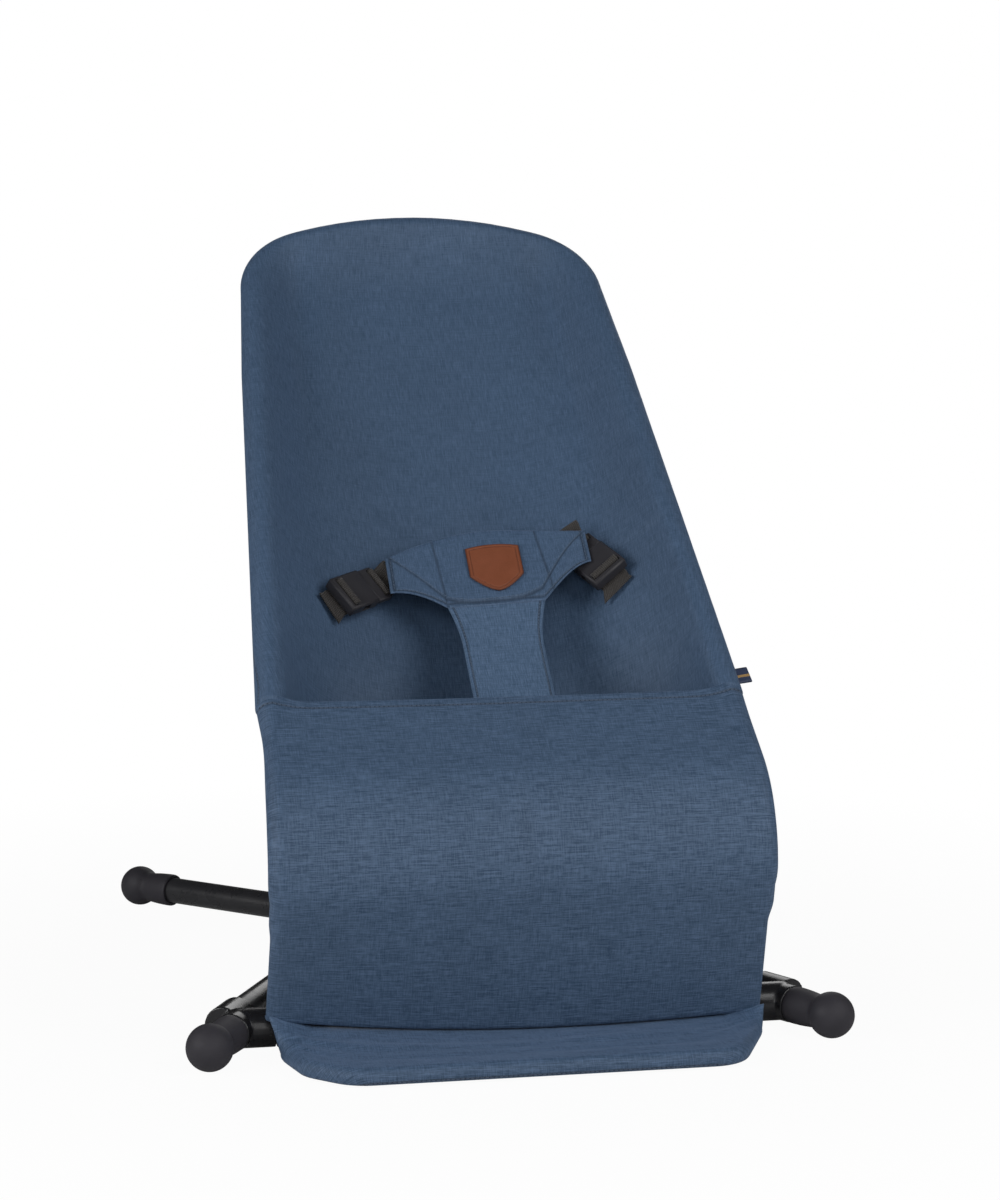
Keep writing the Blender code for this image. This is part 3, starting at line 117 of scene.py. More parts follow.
def mirrored(points):
    return [on_side(point, -1) for point in points]


def both_halves(points):
    """A line that ends on the middle plane, carried on over the other half."""
    return points + mirrored(points)[-2::-1]


def bend_path(points, radii, step=radians(4)):
    """A line through straight runs, with a bend of the given radius at each inner corner."""
    path = [points[0]]
    for before, corner, after, radius in zip(points, points[1:], points[2:], radii):
        come, go = (corner - before).normalized(), (after - corner).normalized()
        turn = come.angle(go)
        reach = radius * tan(turn / 2)
        centre = corner + (go - come).normalized() * (radius / cos(turn / 2))
        start = corner - come * reach - centre
        axis = come.cross(go).normalized()
        count = 2 * max(1, ceil(turn / step / 2))
        for index in range(count + 1):
            path.append(centre + Matrix.Rotation(turn * index / count, 3, axis) @ start)
    return path + [points[-1]]


def stand_for(item, material, node):
    """Gives a piece its material and hangs it on the body of the node that it stands for."""
    put_in_scene(item)
    item.data.materials.clear()
    item.data.materials.append(material)
    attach(item, frame["nodes"][node]["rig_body"])
    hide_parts(node)


def feed(tree, node, inputs):
    """Sets a node's inputs: a socket or a node's first output is linked, and a number is set."""
    for name, value in inputs.items():
        if isinstance(value, bpy.types.Node):
            value = value.outputs[0]
        if isinstance(value, bpy.types.NodeSocket):
            tree.links.new(value, node.inputs[name])
        else:
            node.inputs[name].default_value = value


def add_node(tree, kind, inputs=(), **settings):
    made = tree.nodes.new("ShaderNode" + kind)
    for name, value in settings.items():
        setattr(made, name, value)
    feed(tree, made, dict(inputs))
    return made


def mixed(share, first, second):
    """A colour between two, each of them three numbers or the output of a node."""
    first, second = ((*colour, 1.0) if isinstance(colour, tuple) else colour for colour in (first, second))
    return add_node(share.id_data, "MixRGB", {"Fac": share, "Color1": first, "Color2": second})


def ranged(value, onto=(0.0, 1.0), within=(0.0, 1.0)):
    """A node's value held within one range and moved onto another."""
    return add_node(value.id_data, "MapRange", {"Value": value, "From Min": within[0], "From Max": within[1],
                                                "To Min": onto[0], "To Max": onto[1]})


def clouded(tree, place, scale, detail, rough=0.5):
    return add_node(tree, "TexNoise", {"Vector": place, "Scale": scale, "Detail": detail, "Roughness": rough})


def new_material(name):
    """A new material, with the tree of its nodes."""
    made = bpy.data.materials.new(name)
    made.use_nodes = True
    return made, made.node_tree


def dress(height, strength, depth, inputs):
    """Gives a material the fine relief of its surface, and its shader's other inputs."""
    tree = height.id_data
    bump = add_node(tree, "Bump", {"Height": height, "Strength": strength, "Distance": depth})
    feed(tree, tree.nodes["Principled BSDF"], {"Normal": bump, **inputs})


def hard_finish(name, colour, roughness, metallic=0.0, grain=900.0, depth=0.00012, cloud=45.0, spread=0.2,
                dulling=0.08, shine=0.3):
    """Paint, moulding or rubber: a fine grain in the surface, and soft clouds of wear and dust."""
    made, tree = new_material(name)
    place = add_node(tree, "TexCoord").outputs["Object"]
    clouds = clouded(tree, place, cloud, 6.0, 0.6)
    dark, pale = (tuple(part * share for part in colour) for share in (1.0 - spread, 1.0 + spread))
    gloss = ranged(clouds, (roughness - dulling / 2, roughness + dulling), (0.35, 0.7))
    peel = clouded(tree, place, grain, 3.0, 0.55)
    dress(peel, 0.6, depth, {"Base Color": mixed(clouds, dark, pale), "Roughness": gloss,
                             "Metallic": metallic, "Specular IOR Level": shine})
    return made


black_coat = hard_finish("black_powder_coat", (0.018, 0.018, 0.020), 0.38, shine=0.35)
grey_coat = hard_finish("grey_powder_coat", (0.026, 0.026, 0.029), 0.28, shine=0.45)


def round_tube(name, node, path, radius, sides=28, coat=black_coat):
    """A tube swept along a path and closed at both ends, in the place of its node."""
    line = bpy.data.curves.new(name, "CURVE")
    line.dimensions = "3D"
    line.bevel_depth = radius
    line.bevel_resolution = (sides - 4) // 2
    line.use_fill_caps = True
    run = line.splines.new("POLY")
    run.points.add(len(path) - 1)
    for place, point in zip(path, run.points):
        point.co = (*place, 1.0)
    run.use_smooth = True
    drawn = bpy.data.objects.new(name + "_line", line)
    mesh = bpy.data.meshes.new_from_object(drawn)
    bpy.data.objects.remove(drawn)
    bpy.data.curves.remove(line)
    mesh.name = name
    item = bpy.data.objects.new(name, mesh)
    stand_for(item, coat, node)
    return item


bar_line = [spot(x, AXLE_BACKSET, AXLE_Z) for x in (-0.1899, 0.1899)]
round_tube("crossbar_tube", "front_crossbar", bar_line, BASE_TUBE_RADIUS)

side_start = spot(0.2076, 0.065, AXLE_Z)
side_waist = spot(0.0572, 0.3752, AXLE_Z)
rear_foot = spot(0.2339, 0.552, FOOT_CENTRE_Z)
side_end = rear_foot - (rear_foot - side_waist).normalized() * SHORT_OF_BALL
side_path = bend_path([side_start, side_waist, side_end], [0.060])
for word, path in (("right", side_path), ("left", mirrored(side_path))):
    round_tube(f"side_tube_{word}_coated", f"side_tube_{word}", path, BASE_TUBE_RADIUS,
               coat=grey_coat)

# Corner fittings: glossy black nylon elbows, moulded in one shot. Each holds an end of the crossbar
# and of a side tube, and its stub carries the rubber foot.
SIDES = (("left", -1), ("right", 1))
ELBOW_X = 0.202
SOCKET_RADIUS = 0.0145
BALL_X = 0.2274


def rod(bm, start, end, radius, segments=40):
    """A closed round rod between two points, added to a mesh."""
    run = end - start
    turn = run.to_track_quat("Z", "Y").to_matrix().to_4x4()
    bmesh.ops.create_cone(bm, cap_ends=True, segments=segments, radius1=radius, radius2=radius,
                          depth=run.length, matrix=Matrix.Translation((start + end) / 2) @ turn)


def finished(name, bm, sharp=None):
    """An object of a mesh, shaded smooth but for edges sharper than an angle."""
    mesh = bpy.data.meshes.new(name)
    bm.to_mesh(mesh)
    bm.free()
    mesh.shade_smooth()
    if sharp:
        mesh.set_sharp_from_angle(angle=radians(sharp))
    return bpy.data.objects.new(name, mesh)


def moulded(name, bm):
    """Closed shapes melted into one moulding, with its inner corners filled."""
    rough = finished(name + "_rough", bm)
    put_in_scene(rough)
    melt = rough.modifiers.new("melt", "REMESH")
    melt.mode = "VOXEL"
    melt.voxel_size = 0.0008
    soften = rough.modifiers.new("soften", "SMOOTH")
    soften.factor = 0.5
    soften.iterations = 4
    graph = bpy.context.evaluated_depsgraph_get()
    made = bpy.data.meshes.new_from_object(rough.evaluated_get(graph), depsgraph=graph)
    bpy.data.meshes.remove(rough.data)
    made.name = name
    made.shade_smooth()
    return bpy.data.objects.new(name, made)


gloss_nylon = hard_finish("glossy_nylon", (0.015, 0.015, 0.017), 0.22, grain=420.0, depth=0.00008, cloud=30.0,
                          spread=0.12, dulling=0.10, shine=0.5)

for word, side in SIDES:
    elbow = spot(side * ELBOW_X, AXLE_BACKSET, AXLE_Z)
    ball = spot(side * BALL_X, 0.0, FOOT_CENTRE_Z)
    forward = (ball - elbow).normalized()
    start = on_side(side_start, side)
    back = (on_side(side_waist, side) - start).normalized()
    shape = bmesh.new()
    rod(shape, spot(side * 0.176, AXLE_BACKSET, AXLE_Z), elbow, SOCKET_RADIUS)
    bmesh.ops.create_uvsphere(shape, u_segments=40, v_segments=24, radius=SOCKET_RADIUS,
                              matrix=Matrix.Translation(elbow))
    rod(shape, elbow, ball - forward * 0.0383, SOCKET_RADIUS - 0.0006)
    rod(shape, elbow, ball - forward * SHORT_OF_BALL, BASE_TUBE_RADIUS)
    rod(shape, start - back * 0.012, start + back * 0.020, SOCKET_RADIUS - 0.0007)
    fitting = moulded(f"corner_fitting_{word}_moulding", shape)
    stand_for(fitting, gloss_nylon, f"corner_fitting_{word}")

# Ball feet: solid balls of matte black rubber with a sleeve that grips the stub or the tube end.
# They are worn flat by about half a millimetre where they stand.
FOOT_RADIUS = 0.017
matte_rubber = hard_finish("matte_rubber", (0.036, 0.034, 0.041), 0.60, grain=1500.0, depth=0.00008,
                           cloud=60.0, spread=0.18, dulling=0.10)

# The foot's outline, by its place along the tube and its radius.
foot_profile = [(-FOOT_RADIUS * cos(turn), FOOT_RADIUS * sin(turn))
                for turn in (radians(4.2 * step) for step in range(31))]
foot_profile[0] = (-FOOT_RADIUS, 0.0)
foot_profile += [(0.0117, 0.01262), (0.0136, 0.01250), (0.0158, 0.01262), (0.0190, 0.01296), (0.0230, 0.01332),
                 (0.0280, 0.01360), (0.0330, 0.01374), (0.0362, 0.01374), (0.0373, 0.01354), (0.0379, 0.01310),
                 (0.0380, 0.01240), (0.0380, 0.01130), (0.0300, 0.01130), (0.0300, 0.0)]
for word, centre, way in (("front", spot(BALL_X, 0.0, FOOT_CENTRE_Z), spot(ELBOW_X, AXLE_BACKSET, AXLE_Z)),
                          ("rear", rear_foot, side_waist)):
    for hand, side in SIDES:
        place = on_side(centre, side)
        axis = (on_side(way, side) - place).normalized()
        off = axis.orthogonal().normalized()
        shape = bmesh.new()
        points = [shape.verts.new(place + axis * along + off * radius) for along, radius in foot_profile]
        line = [shape.edges.new(pair) for pair in zip(points, points[1:])]
        bmesh.ops.spin(shape, geom=points + line, cent=place, axis=axis, angle=2 * pi, steps=56, use_merge=True)
        bmesh.ops.remove_doubles(shape, verts=shape.verts, dist=1e-6)
        bmesh.ops.recalc_face_normals(shape, faces=shape.faces)
        cut = bmesh.ops.bisect_plane(shape, geom=shape.verts[:] + shape.edges[:] + shape.faces[:], dist=1e-6,
                                     plane_co=(0, 0, 0), plane_no=(0, 0, -1), clear_outer=True)
        rim = [item for item in cut["geom_cut"] if isinstance(item, bmesh.types.BMEdge)]
        bmesh.ops.contextual_create(shape, geom=rim)
        foot = finished(f"foot_{word}_{hand}_rubber", shape, 50)
        stand_for(foot, matte_rubber, f"foot_{word}_{hand}")

# Waist bridge and clamp: two nylon halves that close round both side tubes where they come
# together, held by two zinc screws, with lugs for the steel pin that the stay turns on.
black_nylon = hard_finish("black_nylon", (0.027, 0.025, 0.027), 0.48, grain=700.0, depth=0.00014, cloud=35.0,
                          spread=0.15)
zinc = hard_finish("zinc_plate", (0.60, 0.60, 0.61), 0.33, metallic=1.0, grain=1200.0, depth=0.00005,
                   cloud=90.0, spread=0.10, dulling=0.16, shine=0.5)


def refine(nodes, edge=0.0005, segments=2, material=black_nylon):
    """Mouldings with their own shape from the frame, their sharp edges broken."""
    for node in nodes:
        bm = bmesh.new()
        bm.from_mesh(frame["nodes"][node].data)
        bmesh.ops.remove_doubles(bm, verts=bm.verts, dist=1e-6)
        bmesh.ops.dissolve_limit(bm, angle_limit=radians(1.5), verts=bm.verts, edges=bm.edges)
        sharp = [item for item in bm.edges if len(item.link_faces) == 2
                 and item.calc_face_angle(0.0) > radians(42)]
        bmesh.ops.bevel(bm, geom=sharp, offset=edge, affect="EDGES", segments=segments, profile=0.5,
                        material=-1, clamp_overlap=True)
        bmesh.ops.dissolve_degenerate(bm, dist=0.00002, edges=bm.edges)
        stand_for(finished(f"{node}_moulding", bm, 38), material, node)


refine(("waist_bridge", "waist_clamp"), 0.0006)
pin_low, pin_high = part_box("stay_pin")
pin_y, pin_z = (pin_low.y + pin_high.y) / 2, (pin_low.z + pin_high.z) / 2
pin_line = [Vector((x, pin_y, pin_z)) for x in (pin_low.x, pin_high.x)]
round_tube("stay_pin_steel", "stay_pin", pin_line, 0.005, coat=zinc)
for node in ("waist_screw_left", "waist_screw_right", "rail_joiner_left", "rail_joiner_right"):
    frame["nodes"][node].data.materials.clear()
    frame["nodes"][node].data.materials.append(zinc)

# Floor loop: a thinner coated tube bent like a shallow tray edge. It lies on the floor inside the
# front hem of the cover, and a nylon clamp on the crossbar holds each of its ends.
LOOP_Z = 0.0075
loop_corners = [spot(0.1655, 0.0286, AXLE_Z - 0.0015), spot(0.1715, 0.008, LOOP_Z),
                spot(0.1380, -0.0644, LOOP_Z), spot(-0.1345, -0.0645, LOOP_Z), spot(-0.1615, -0.036, LOOP_Z),
                spot(-0.1715, 0.008, LOOP_Z), spot(-0.1655, 0.0286, AXLE_Z - 0.0015)]
loop_line = bend_path(loop_corners, [0.025, 0.028, 0.030, 0.026, 0.025])
round_tube("floor_loop_tube", "floor_loop", loop_line, 0.005, 20)
refine(("loop_clamp_left", "loop_clamp_right"))

# Seat frame: two bent rails and a bowed head tube of black coated steel, pinned together inside,
# on nylon knuckles that turn on the crossbar.
RAIL_RADIUS = 0.008
SEAT_CORNER_Y = 0.0944
SEAT_CORNER_Z = 0.2474
SEAT_HALF = 0.1708
KNEE_HALF = 0.1745
RAIL_STRAIGHT = 0.442
HEAD_TOP = 0.513
BACK_ANGLE = radians(41.5)
BACK_UP = Vector((0.0, cos(BACK_ANGLE), sin(BACK_ANGLE)))
BACK_OUT = Vector((0.0, -sin(BACK_ANGLE), cos(BACK_ANGLE)))
SEAT_CORNER = spot(0.0, SEAT_CORNER_Y, SEAT_CORNER_Z)


def on_back(x, up, out):
    """A point by its place across, up the backrest's slope, and out in front of the rails."""
    return SEAT_CORNER + ACROSS * x + BACK_UP * up + BACK_OUT * out


def rail_half(up):
    """Half the distance between the rails, which come closer towards the head."""
    return SEAT_HALF - 0.0613 * up


def from_corner(point):
    """A point's place across, up the backrest's slope, and out in front of the rails."""
    return point.x, (point - SEAT_CORNER).dot(BACK_UP), (point - SEAT_CORNER).dot(BACK_OUT)


rail_top = on_back(rail_half(RAIL_STRAIGHT), RAIL_STRAIGHT, 0.0)
rail_corners = [spot(0.146, AXLE_BACKSET, 0.0321), spot(0.146, AXLE_BACKSET, 0.0746),
                spot(KNEE_HALF, -0.004, 0.109), spot(KNEE_HALF, -0.004, 0.1759),
                spot(SEAT_HALF, SEAT_CORNER_Y, SEAT_CORNER_Z), rail_top]
RAIL_BENDS = [0.028, 0.040, 0.086, 0.150]
rail_path = bend_path(rail_corners, RAIL_BENDS)
for word, path in (("right", rail_path), ("left", mirrored(rail_path))):
    round_tube(f"rail_{word}_tube", f"rail_{word}", path, RAIL_RADIUS)
    refine((f"hinge_knuckle_{word}",))

head_half = [rail_top, on_back(rail_half(0.4865), 0.4865, 0.001), on_back(0.0, HEAD_TOP + 0.0122, 0.013)]
head_path = bend_path(both_halves(head_half), [0.058, 0.350, 0.058], radians(3))
round_tube("head_bow_tube", "head_bow", head_path, RAIL_RADIUS)

# Cross bows and recline rack: two bent rods welded between the rails behind the cover, and the
# notched nylon bar between them that the slider runs on.
RACK_DEPTH = 0.060
RACK_START = 0.2900
RACK_LENGTH = 0.202
LEAN_IN, LEAN_BACK = sin(radians(15)), cos(radians(15))
for word, rail_up, rack_up in (("lower", RACK_START, RACK_START),
                               ("upper", RAIL_STRAIGHT - 0.025, RACK_START + RACK_LENGTH)):
    half = rail_half(rail_up)
    corners = [on_back(half - LEAN_IN * reach, rail_up, -LEAN_BACK * reach) for reach in (0.0083, 0.036)]
    corners += [on_back(half - 0.045, rack_up, -RACK_DEPTH), on_back(0.0, rack_up, -RACK_DEPTH)]
    path = both_halves(bend_path(corners, [0.020, 0.030]))
    round_tube(f"cross_bow_{word}_rod", f"cross_bow_{word}", path, 0.005, 20)
refine(("recline_rack",))

# Stay: a long narrow bow of thin coated tube that props up the backrest, on a nylon hub below. The
# nylon slider on its top bar locks in the rack with a spring plunger that is pulled to recline.
STAY_HALF = 0.034
stay_foot = spot(0.0, 0.320, 0.038)
stay_top = spot(0.0, 0.392522, 0.411015)
stay_along = (stay_top - stay_foot).normalized()
corners = [stay_foot + stay_along * 0.011 + ACROSS * STAY_HALF, stay_top + ACROSS * STAY_HALF, stay_top]
round_tube("stay_bow_tube", "stay_bow", both_halves(bend_path(corners, [0.0115])), 0.006, 24)
refine(("stay_hub", "recline_slider", "lock_plunger"))

# Lock spring: zinc plated wire coiled round the plunger, from the slider's cap to the plunger's collar.
COIL = 0.00485
WIRE = 0.0005
TURNS = 4
TURN_STEPS = 24
spring_low, spring_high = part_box("lock_spring")
middle = (Vector(spring_low) + Vector(spring_high)) / 2
reach = ((spring_high.z - spring_low.z) / 2 - (COIL + WIRE) * BACK_UP.z) / BACK_OUT.z - WIRE
coils = []
for index in range(TURNS * TURN_STEPS + 1):
    turn = 2.0 * pi * index / TURN_STEPS
    coils.append(middle + (ACROSS * cos(turn) + BACK_UP * sin(turn)) * COIL
                 + BACK_OUT * reach * (index / (TURNS * TURN_STEPS / 2) - 1.0))
spring = round_tube("lock_spring_wire", "lock_spring", coils, WIRE, 12, zinc)
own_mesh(spring)

# Back cover: one piece of woven melange, cotton and polyester, cut wide so that it hangs as a
# hammock. Its hems are channels round the rails and the head bow.
HEM_RADIUS = 0.0092
BACK_HEM = 0.0113
HEM_INSET = 0.7 * HEM_RADIUS
HEM_STEPS = 14
FIELD_STEPS = 36
RAIL_ROWS = 108
WRAP_END = radians(228)
SLING_START = 0.004
HAMMOCK_DEPTH = 0.085
CLOTH = 0.0012
WEAVE = 0.0011
bow_right = [point for point in head_path if point.x > -1e-6]
bow_x, bow_up, bow_out = zip(*map(from_corner, reversed(bow_right)))


def clamp(value):
    return min(max(value, 0.0), 1.0)


def waver(height, x, y, z):
    """A small uneven rise or dip of the cloth, never more than its height."""
    return noise.noise(Vector((x, y, z))) * height


def full_depth(up):
    """How far behind the rails the slack cloth hangs, from the seat's height to nothing at the head."""
    return HAMMOCK_DEPTH * (1.0 - (max(up, 0.0) / HEAD_TOP) ** 1.1)


def hollow(x, up):
    """How far in front of the rails' plane the hammock lies, taut at its hems and slack between."""
    share = min(abs(x) / (rail_half(up) - HEM_INSET), 1.0)
    above = float(np.interp(abs(x), bow_x, bow_up)) - up
    near = clamp(1.0 - above / 0.07)
    steep = 2.8 + 3.4 * exp(-((max(up, 0.0) / 0.045) ** 2))
    held = 1.0 - (1.0 - share**steep) * (1.0 - near**2.4)
    depth = full_depth(up) if up < HEAD_TOP else 0.0
    lift = float(np.interp(abs(x), bow_x, bow_out)) * near**2.4
    fold = 0.0115 if x < 0.0 else 0.0080
    fold *= exp(-(((share - 0.79) / 0.11) ** 2)) * (1.0 - near**2) * clamp((up - 0.12) / 0.20)
    return HEM_INSET * held - depth * (1.0 - held) + lift - fold


def along_path(path, spacing):
    """Points at even steps along a path, with the tangent at each."""
    lengths = np.cumsum([0.0] + [(b - a).length for a, b in zip(path, path[1:])])
    count = max(2, int(round(lengths[-1] / spacing)))
    steps = np.linspace(0.0, lengths[-1], count + 1)
    columns = [np.interp(steps, lengths, [point[axis] for point in path]) for axis in range(3)]
    points = [Vector(place) for place in zip(*columns)]
    ways = [(points[min(index + 1, count)] - points[max(index - 1, 0)]).normalized()
            for index in range(count + 1)]
    return points, ways


def hem_arc(centre, inward, out, radius, start, end, steps):
    """The part of a cloth row round a tube, from its free edge to where it leaves the tube."""
    turns = [start + (end - start) * index / steps for index in range(steps + 1)]
    return [centre + (inward * cos(turn) + out * sin(turn)) * radius for turn in turns]


def arc_maps(rows):
    """Flat places of a sheet by its lengths: across from the middle, and along its middle line."""
    middle = len(rows[0]) // 2
    down, maps = 0.0, []
    for index, row in enumerate(rows):
        if index:
            down += (row[middle] - rows[index - 1][middle]).length
        steps = np.cumsum([0.0] + [(b - a).length for a, b in zip(row, row[1:])])
        maps.append([(float(step - steps[middle]), down) for step in steps])
    return maps


def walled(item, thickness):
    """Gives a piece a wall of its own, half of it to each side."""
    wall = item.modifiers.new("thickness", "SOLIDIFY")
    wall.thickness = thickness
    wall.offset = 0.0
    return item


def laid_grid(bm, columns, rows, flat_at):
    """A grid added to a mesh and laid flat, in metres, with the shares of each point across and along."""
    layer = bm.loops.layers.uv.get("cloth") or bm.loops.layers.uv.new("cloth")
    made = bmesh.ops.create_grid(bm, x_segments=columns, y_segments=rows, size=0.5)["verts"]
    order = {vert: (vert.co.x + 0.5, vert.co.y + 0.5) for vert in made}
    for vert, shares in order.items():
        for corner in vert.link_loops:
            corner[layer].uv = flat_at(*shares)
    return order


def cloth_grid(name, rows, maps=None, thickness=CLOTH):
    """A sheet through rows of points. Each point has its place on the flat cloth."""
    maps = maps or arc_maps(rows)
    across, along = len(rows[0]) - 1, len(rows) - 1

    def at(grid, u, v):
        return grid[round(v * along)][round(u * across)]

    bm = bmesh.new()
    for vert, shares in laid_grid(bm, across, along, lambda u, v: at(maps, u, v)).items():
        vert.co = at(rows, *shares)
    bmesh.ops.remove_doubles(bm, verts=bm.verts, dist=2e-5)
    bmesh.ops.recalc_face_normals(bm, faces=bm.faces)
    return walled(finished(name, bm), thickness)


def new_cloth(name):
    """A new material that reads the flat place of the cloth, in metres."""
    made, tree = new_material(name)
    return made, tree, add_node(tree, "UVMap", uv_map="cloth")


def reckon(operation, *values):
    """A sum on the values of nodes, the first of them a node's."""
    return add_node(values[0].id_data, "Math", dict(enumerate(values)), operation=operation)


def melange(name, dark, pale, weft, warp, seams=(), drawn=False):
    """Woven melange: pale and dark slubs along the weft and the warp.

    Each seam is a straight sewn line of the flat cloth, its groove darkened with painted shade. A drawn seam is
    shaped in the piece itself, and gets painted shade along its groove from the piece.
    """
    made, tree, flat = new_cloth(name)

    def slubs(length, width, seed, gain):
        place = add_node(tree, "Mapping", {"Vector": flat, "Location": (seed, seed * 0.7, 0.0),
                                           "Scale": (1.0 / length, 1.0 / width, 1.0)})
        grain = clouded(tree, place, 1.0, 1.5, 0.6)
        return reckon("MULTIPLY", reckon("SUBTRACT", grain, 0.5), gain)

    share = slubs(0.0220, 0.00085, 3.1, weft)
    for size in ((0.00085, 0.0150, 7.7, warp), (0.0070, 0.0009, 5.3, weft * 0.7),
                 (0.0009, 0.0060, 9.4, warp * 0.7), (0.0010, 0.0010, 12.3, 0.6)):
        share = reckon("ADD", share, slubs(*size))
    share = ranged(share, within=(-0.5, 0.5))
    washed = ranged(clouded(tree, flat, 16.0, 3.0), (0.96, 1.04), (0.3, 0.7))
    tone = add_node(tree, "VectorMath", {0: mixed(share, dark, pale), 1: washed}, operation="MULTIPLY")

    across, down, _ = add_node(tree, "SeparateXYZ", {"Vector": flat}).outputs
    swing_u, swing_v = (reckon("SINE", reckon("MULTIPLY", part, 2.0 * pi / WEAVE))
                        for part in (across, down))
    height = reckon("MULTIPLY_ADD", reckon("MULTIPLY", swing_u, swing_v), 0.3, share)
    # The first colour is painted shade for the seams' grooves, the second the thread's own blue.
    painted_groove_shade, thread_blue = (0.010, 0.016, 0.028), (0.105, 0.150, 0.225)
    pitch, stitch, thread_half = 0.0034, 0.0023, 0.00036
    for slope, rise, reach in seams:
        line = reckon("MULTIPLY_ADD", reckon("ABSOLUTE", across), slope, -reach)
        away = reckon("ABSOLUTE", reckon("MULTIPLY_ADD", down, rise, line))
        valley = ranged(away, (1.0, 0.0), (0.0003, 0.0011))
        along = reckon("ADD", across if rise > slope else down, 9.0)
        thread = reckon("LESS_THAN", reckon("MODULO", along, pitch), stitch)
        thread = reckon("MULTIPLY", thread, reckon("LESS_THAN", away, thread_half))
        # painted shade: the seam's valley is darkened towards near-black navy, standing in for the shadow in
        # its groove
        tone = mixed(reckon("MULTIPLY", valley, 0.80), tone, painted_groove_shade)
        tone = mixed(reckon("MULTIPLY", thread, 0.8), tone, thread_blue)
        sunk = reckon("MULTIPLY", valley, -3.0)
        height = reckon("ADD", height, reckon("MULTIPLY_ADD", thread, 2.0, sunk))
    if drawn:
        # painted shade: the yoke's sewn grooves are darkened by the groove depth stored on the piece
        line = add_node(tree, "Attribute", attribute_name="painted_seam_shade").outputs["Fac"]
        tone = mixed(reckon("MULTIPLY", line, 0.6), tone, painted_groove_shade)
    dress(height, 0.6, 0.00025, {
        "Base Color": tone, "Roughness": ranged(share, (0.64, 0.52)), "Specular IOR Level": 0.36,
        "Sheen Weight": 0.20, "Sheen Roughness": 0.45, "Sheen Tint": (0.45, 0.62, 0.95, 1.0)})
    return made


def spread_out(row, flat):
    """Widens a row's flat map so that it holds the cloth's real width on the hammock's steep walls."""
    spread = [flat[-1]]
    for index in range(len(row) - 2, -1, -1):
        plain = Vector(flat[index]) - Vector(flat[index + 1])
        scale = (row[index] - row[index + 1]).length / plain.length if plain.length > 1e-9 else 1.0
        spread.append((spread[-1][0] + plain.x * scale, spread[-1][1] + plain.y * scale))
    return spread[::-1]


def back_row(centre, inward, target, radius):
    """One row of the back cover and its flat map, from its hem's free edge to its place on the spine."""
    lift = radians(60)
    probe = 0.0015
    for _ in range(4):
        x, up, _ = from_corner(centre + (inward * cos(lift) + BACK_OUT * sin(lift)) * radius)
        step = Vector((-x, target - up)).normalized() * probe
        fall = (hollow(x, up) - hollow(x + step.x, up + step.y)) / probe
        lift = pi / 2 - atan(max(fall, 0.0))
    row = hem_arc(centre, inward, BACK_OUT, radius, WRAP_END, lift, HEM_STEPS)
    edge_x, edge_up, edge_out = from_corner(row[-1])
    spare = edge_out - hollow(edge_x, edge_up)
    flat = []
    for index in range(HEM_STEPS + 1):
        arc = (WRAP_END - lift) * radius * (1.0 - index / HEM_STEPS)
        flat.append((edge_x - inward.x * arc, edge_up - inward.dot(BACK_UP) * arc))
    for index in range(1, FIELD_STEPS + 1):
        share = 1.0 - index / FIELD_STEPS
        x, up = edge_x * share, target + (edge_up - target) * share
        out = hollow(x, up) + spare * share**3
        slack = (1.0 - share**6) * min(1.0, (HEAD_TOP - up) / 0.05)
        ripple = waver(0.0016, x * 14.0, up * 5.0, 2.0) + waver(0.0005, x * 40.0 + 3.0, up * 12.0, 5.0)
        row.append(on_back(x, up, out + ripple * slack))
        flat.append((x, up))
    return row, spread_out(row, flat)


rail_ups = [-0.009, -0.005, -0.001]
rail_ups += [SLING_START + (RAIL_STRAIGHT - SLING_START) * index / RAIL_ROWS for index in range(RAIL_ROWS + 1)]
taper = (BACK_HEM - HEM_RADIUS) / 0.10
stations = [(on_back(rail_half(up), up, 0.0), -ACROSS, max(up, SLING_START),
             BACK_HEM - taper * max(0.0, up + 0.10 - RAIL_STRAIGHT)) for up in rail_ups]
bow_points, bow_ways = along_path(bow_right, 0.004)
bow_ways[-1] = -ACROSS
for index in range(1, len(bow_points)):
    inward = BACK_OUT.cross(bow_ways[index]).normalized()
    share = index / (len(bow_points) - 1)
    stations.append((bow_points[index], inward, RAIL_STRAIGHT + 0.043 * share**1.3, HEM_RADIUS))
rows, maps = zip(*(back_row(*station) for station in stations))
SEAM_POINT = 5
(low_u, low_v), (high_u, high_v) = maps[8][SEAM_POINT], maps[80][SEAM_POINT]
lean = (low_u - high_u) / (high_v - low_v)
back_cloth = melange("back_melange", (0.036, 0.072, 0.132), (0.082, 0.137, 0.232), 0.9, 1.6,
                     seams=((1.0, lean, low_u + lean * low_v),))
full_rows = [both_halves(row) for row in rows]
full_maps = [flat + [(-u, v) for u, v in flat[-2::-1]] for flat in maps]
for row in full_rows:
    for index, point in enumerate(row):
        row[index] = point + BACK_OUT * waver(0.00022, point.x * 30.0, point.y * 90.0, point.z * 90.0)
back = cloth_grid("back_cover", full_rows, full_maps)
stand_for(back, back_cloth, "back_sling")

# Seat cover: the bottom of the hammock, sewn to the back cover by its rear edge. It rises to the
# rails at its sides, and its front edge lies behind the leg panel.
SEAT_GAP = RAIL_RADIUS + 0.0006
SEAT_REAR = 0.128
SEAT_RUN = 0.080
KNEE_SLOPE = radians(36)
shares = [1.0 - index / FIELD_STEPS for index in range(2 * FIELD_STEPS + 1)]


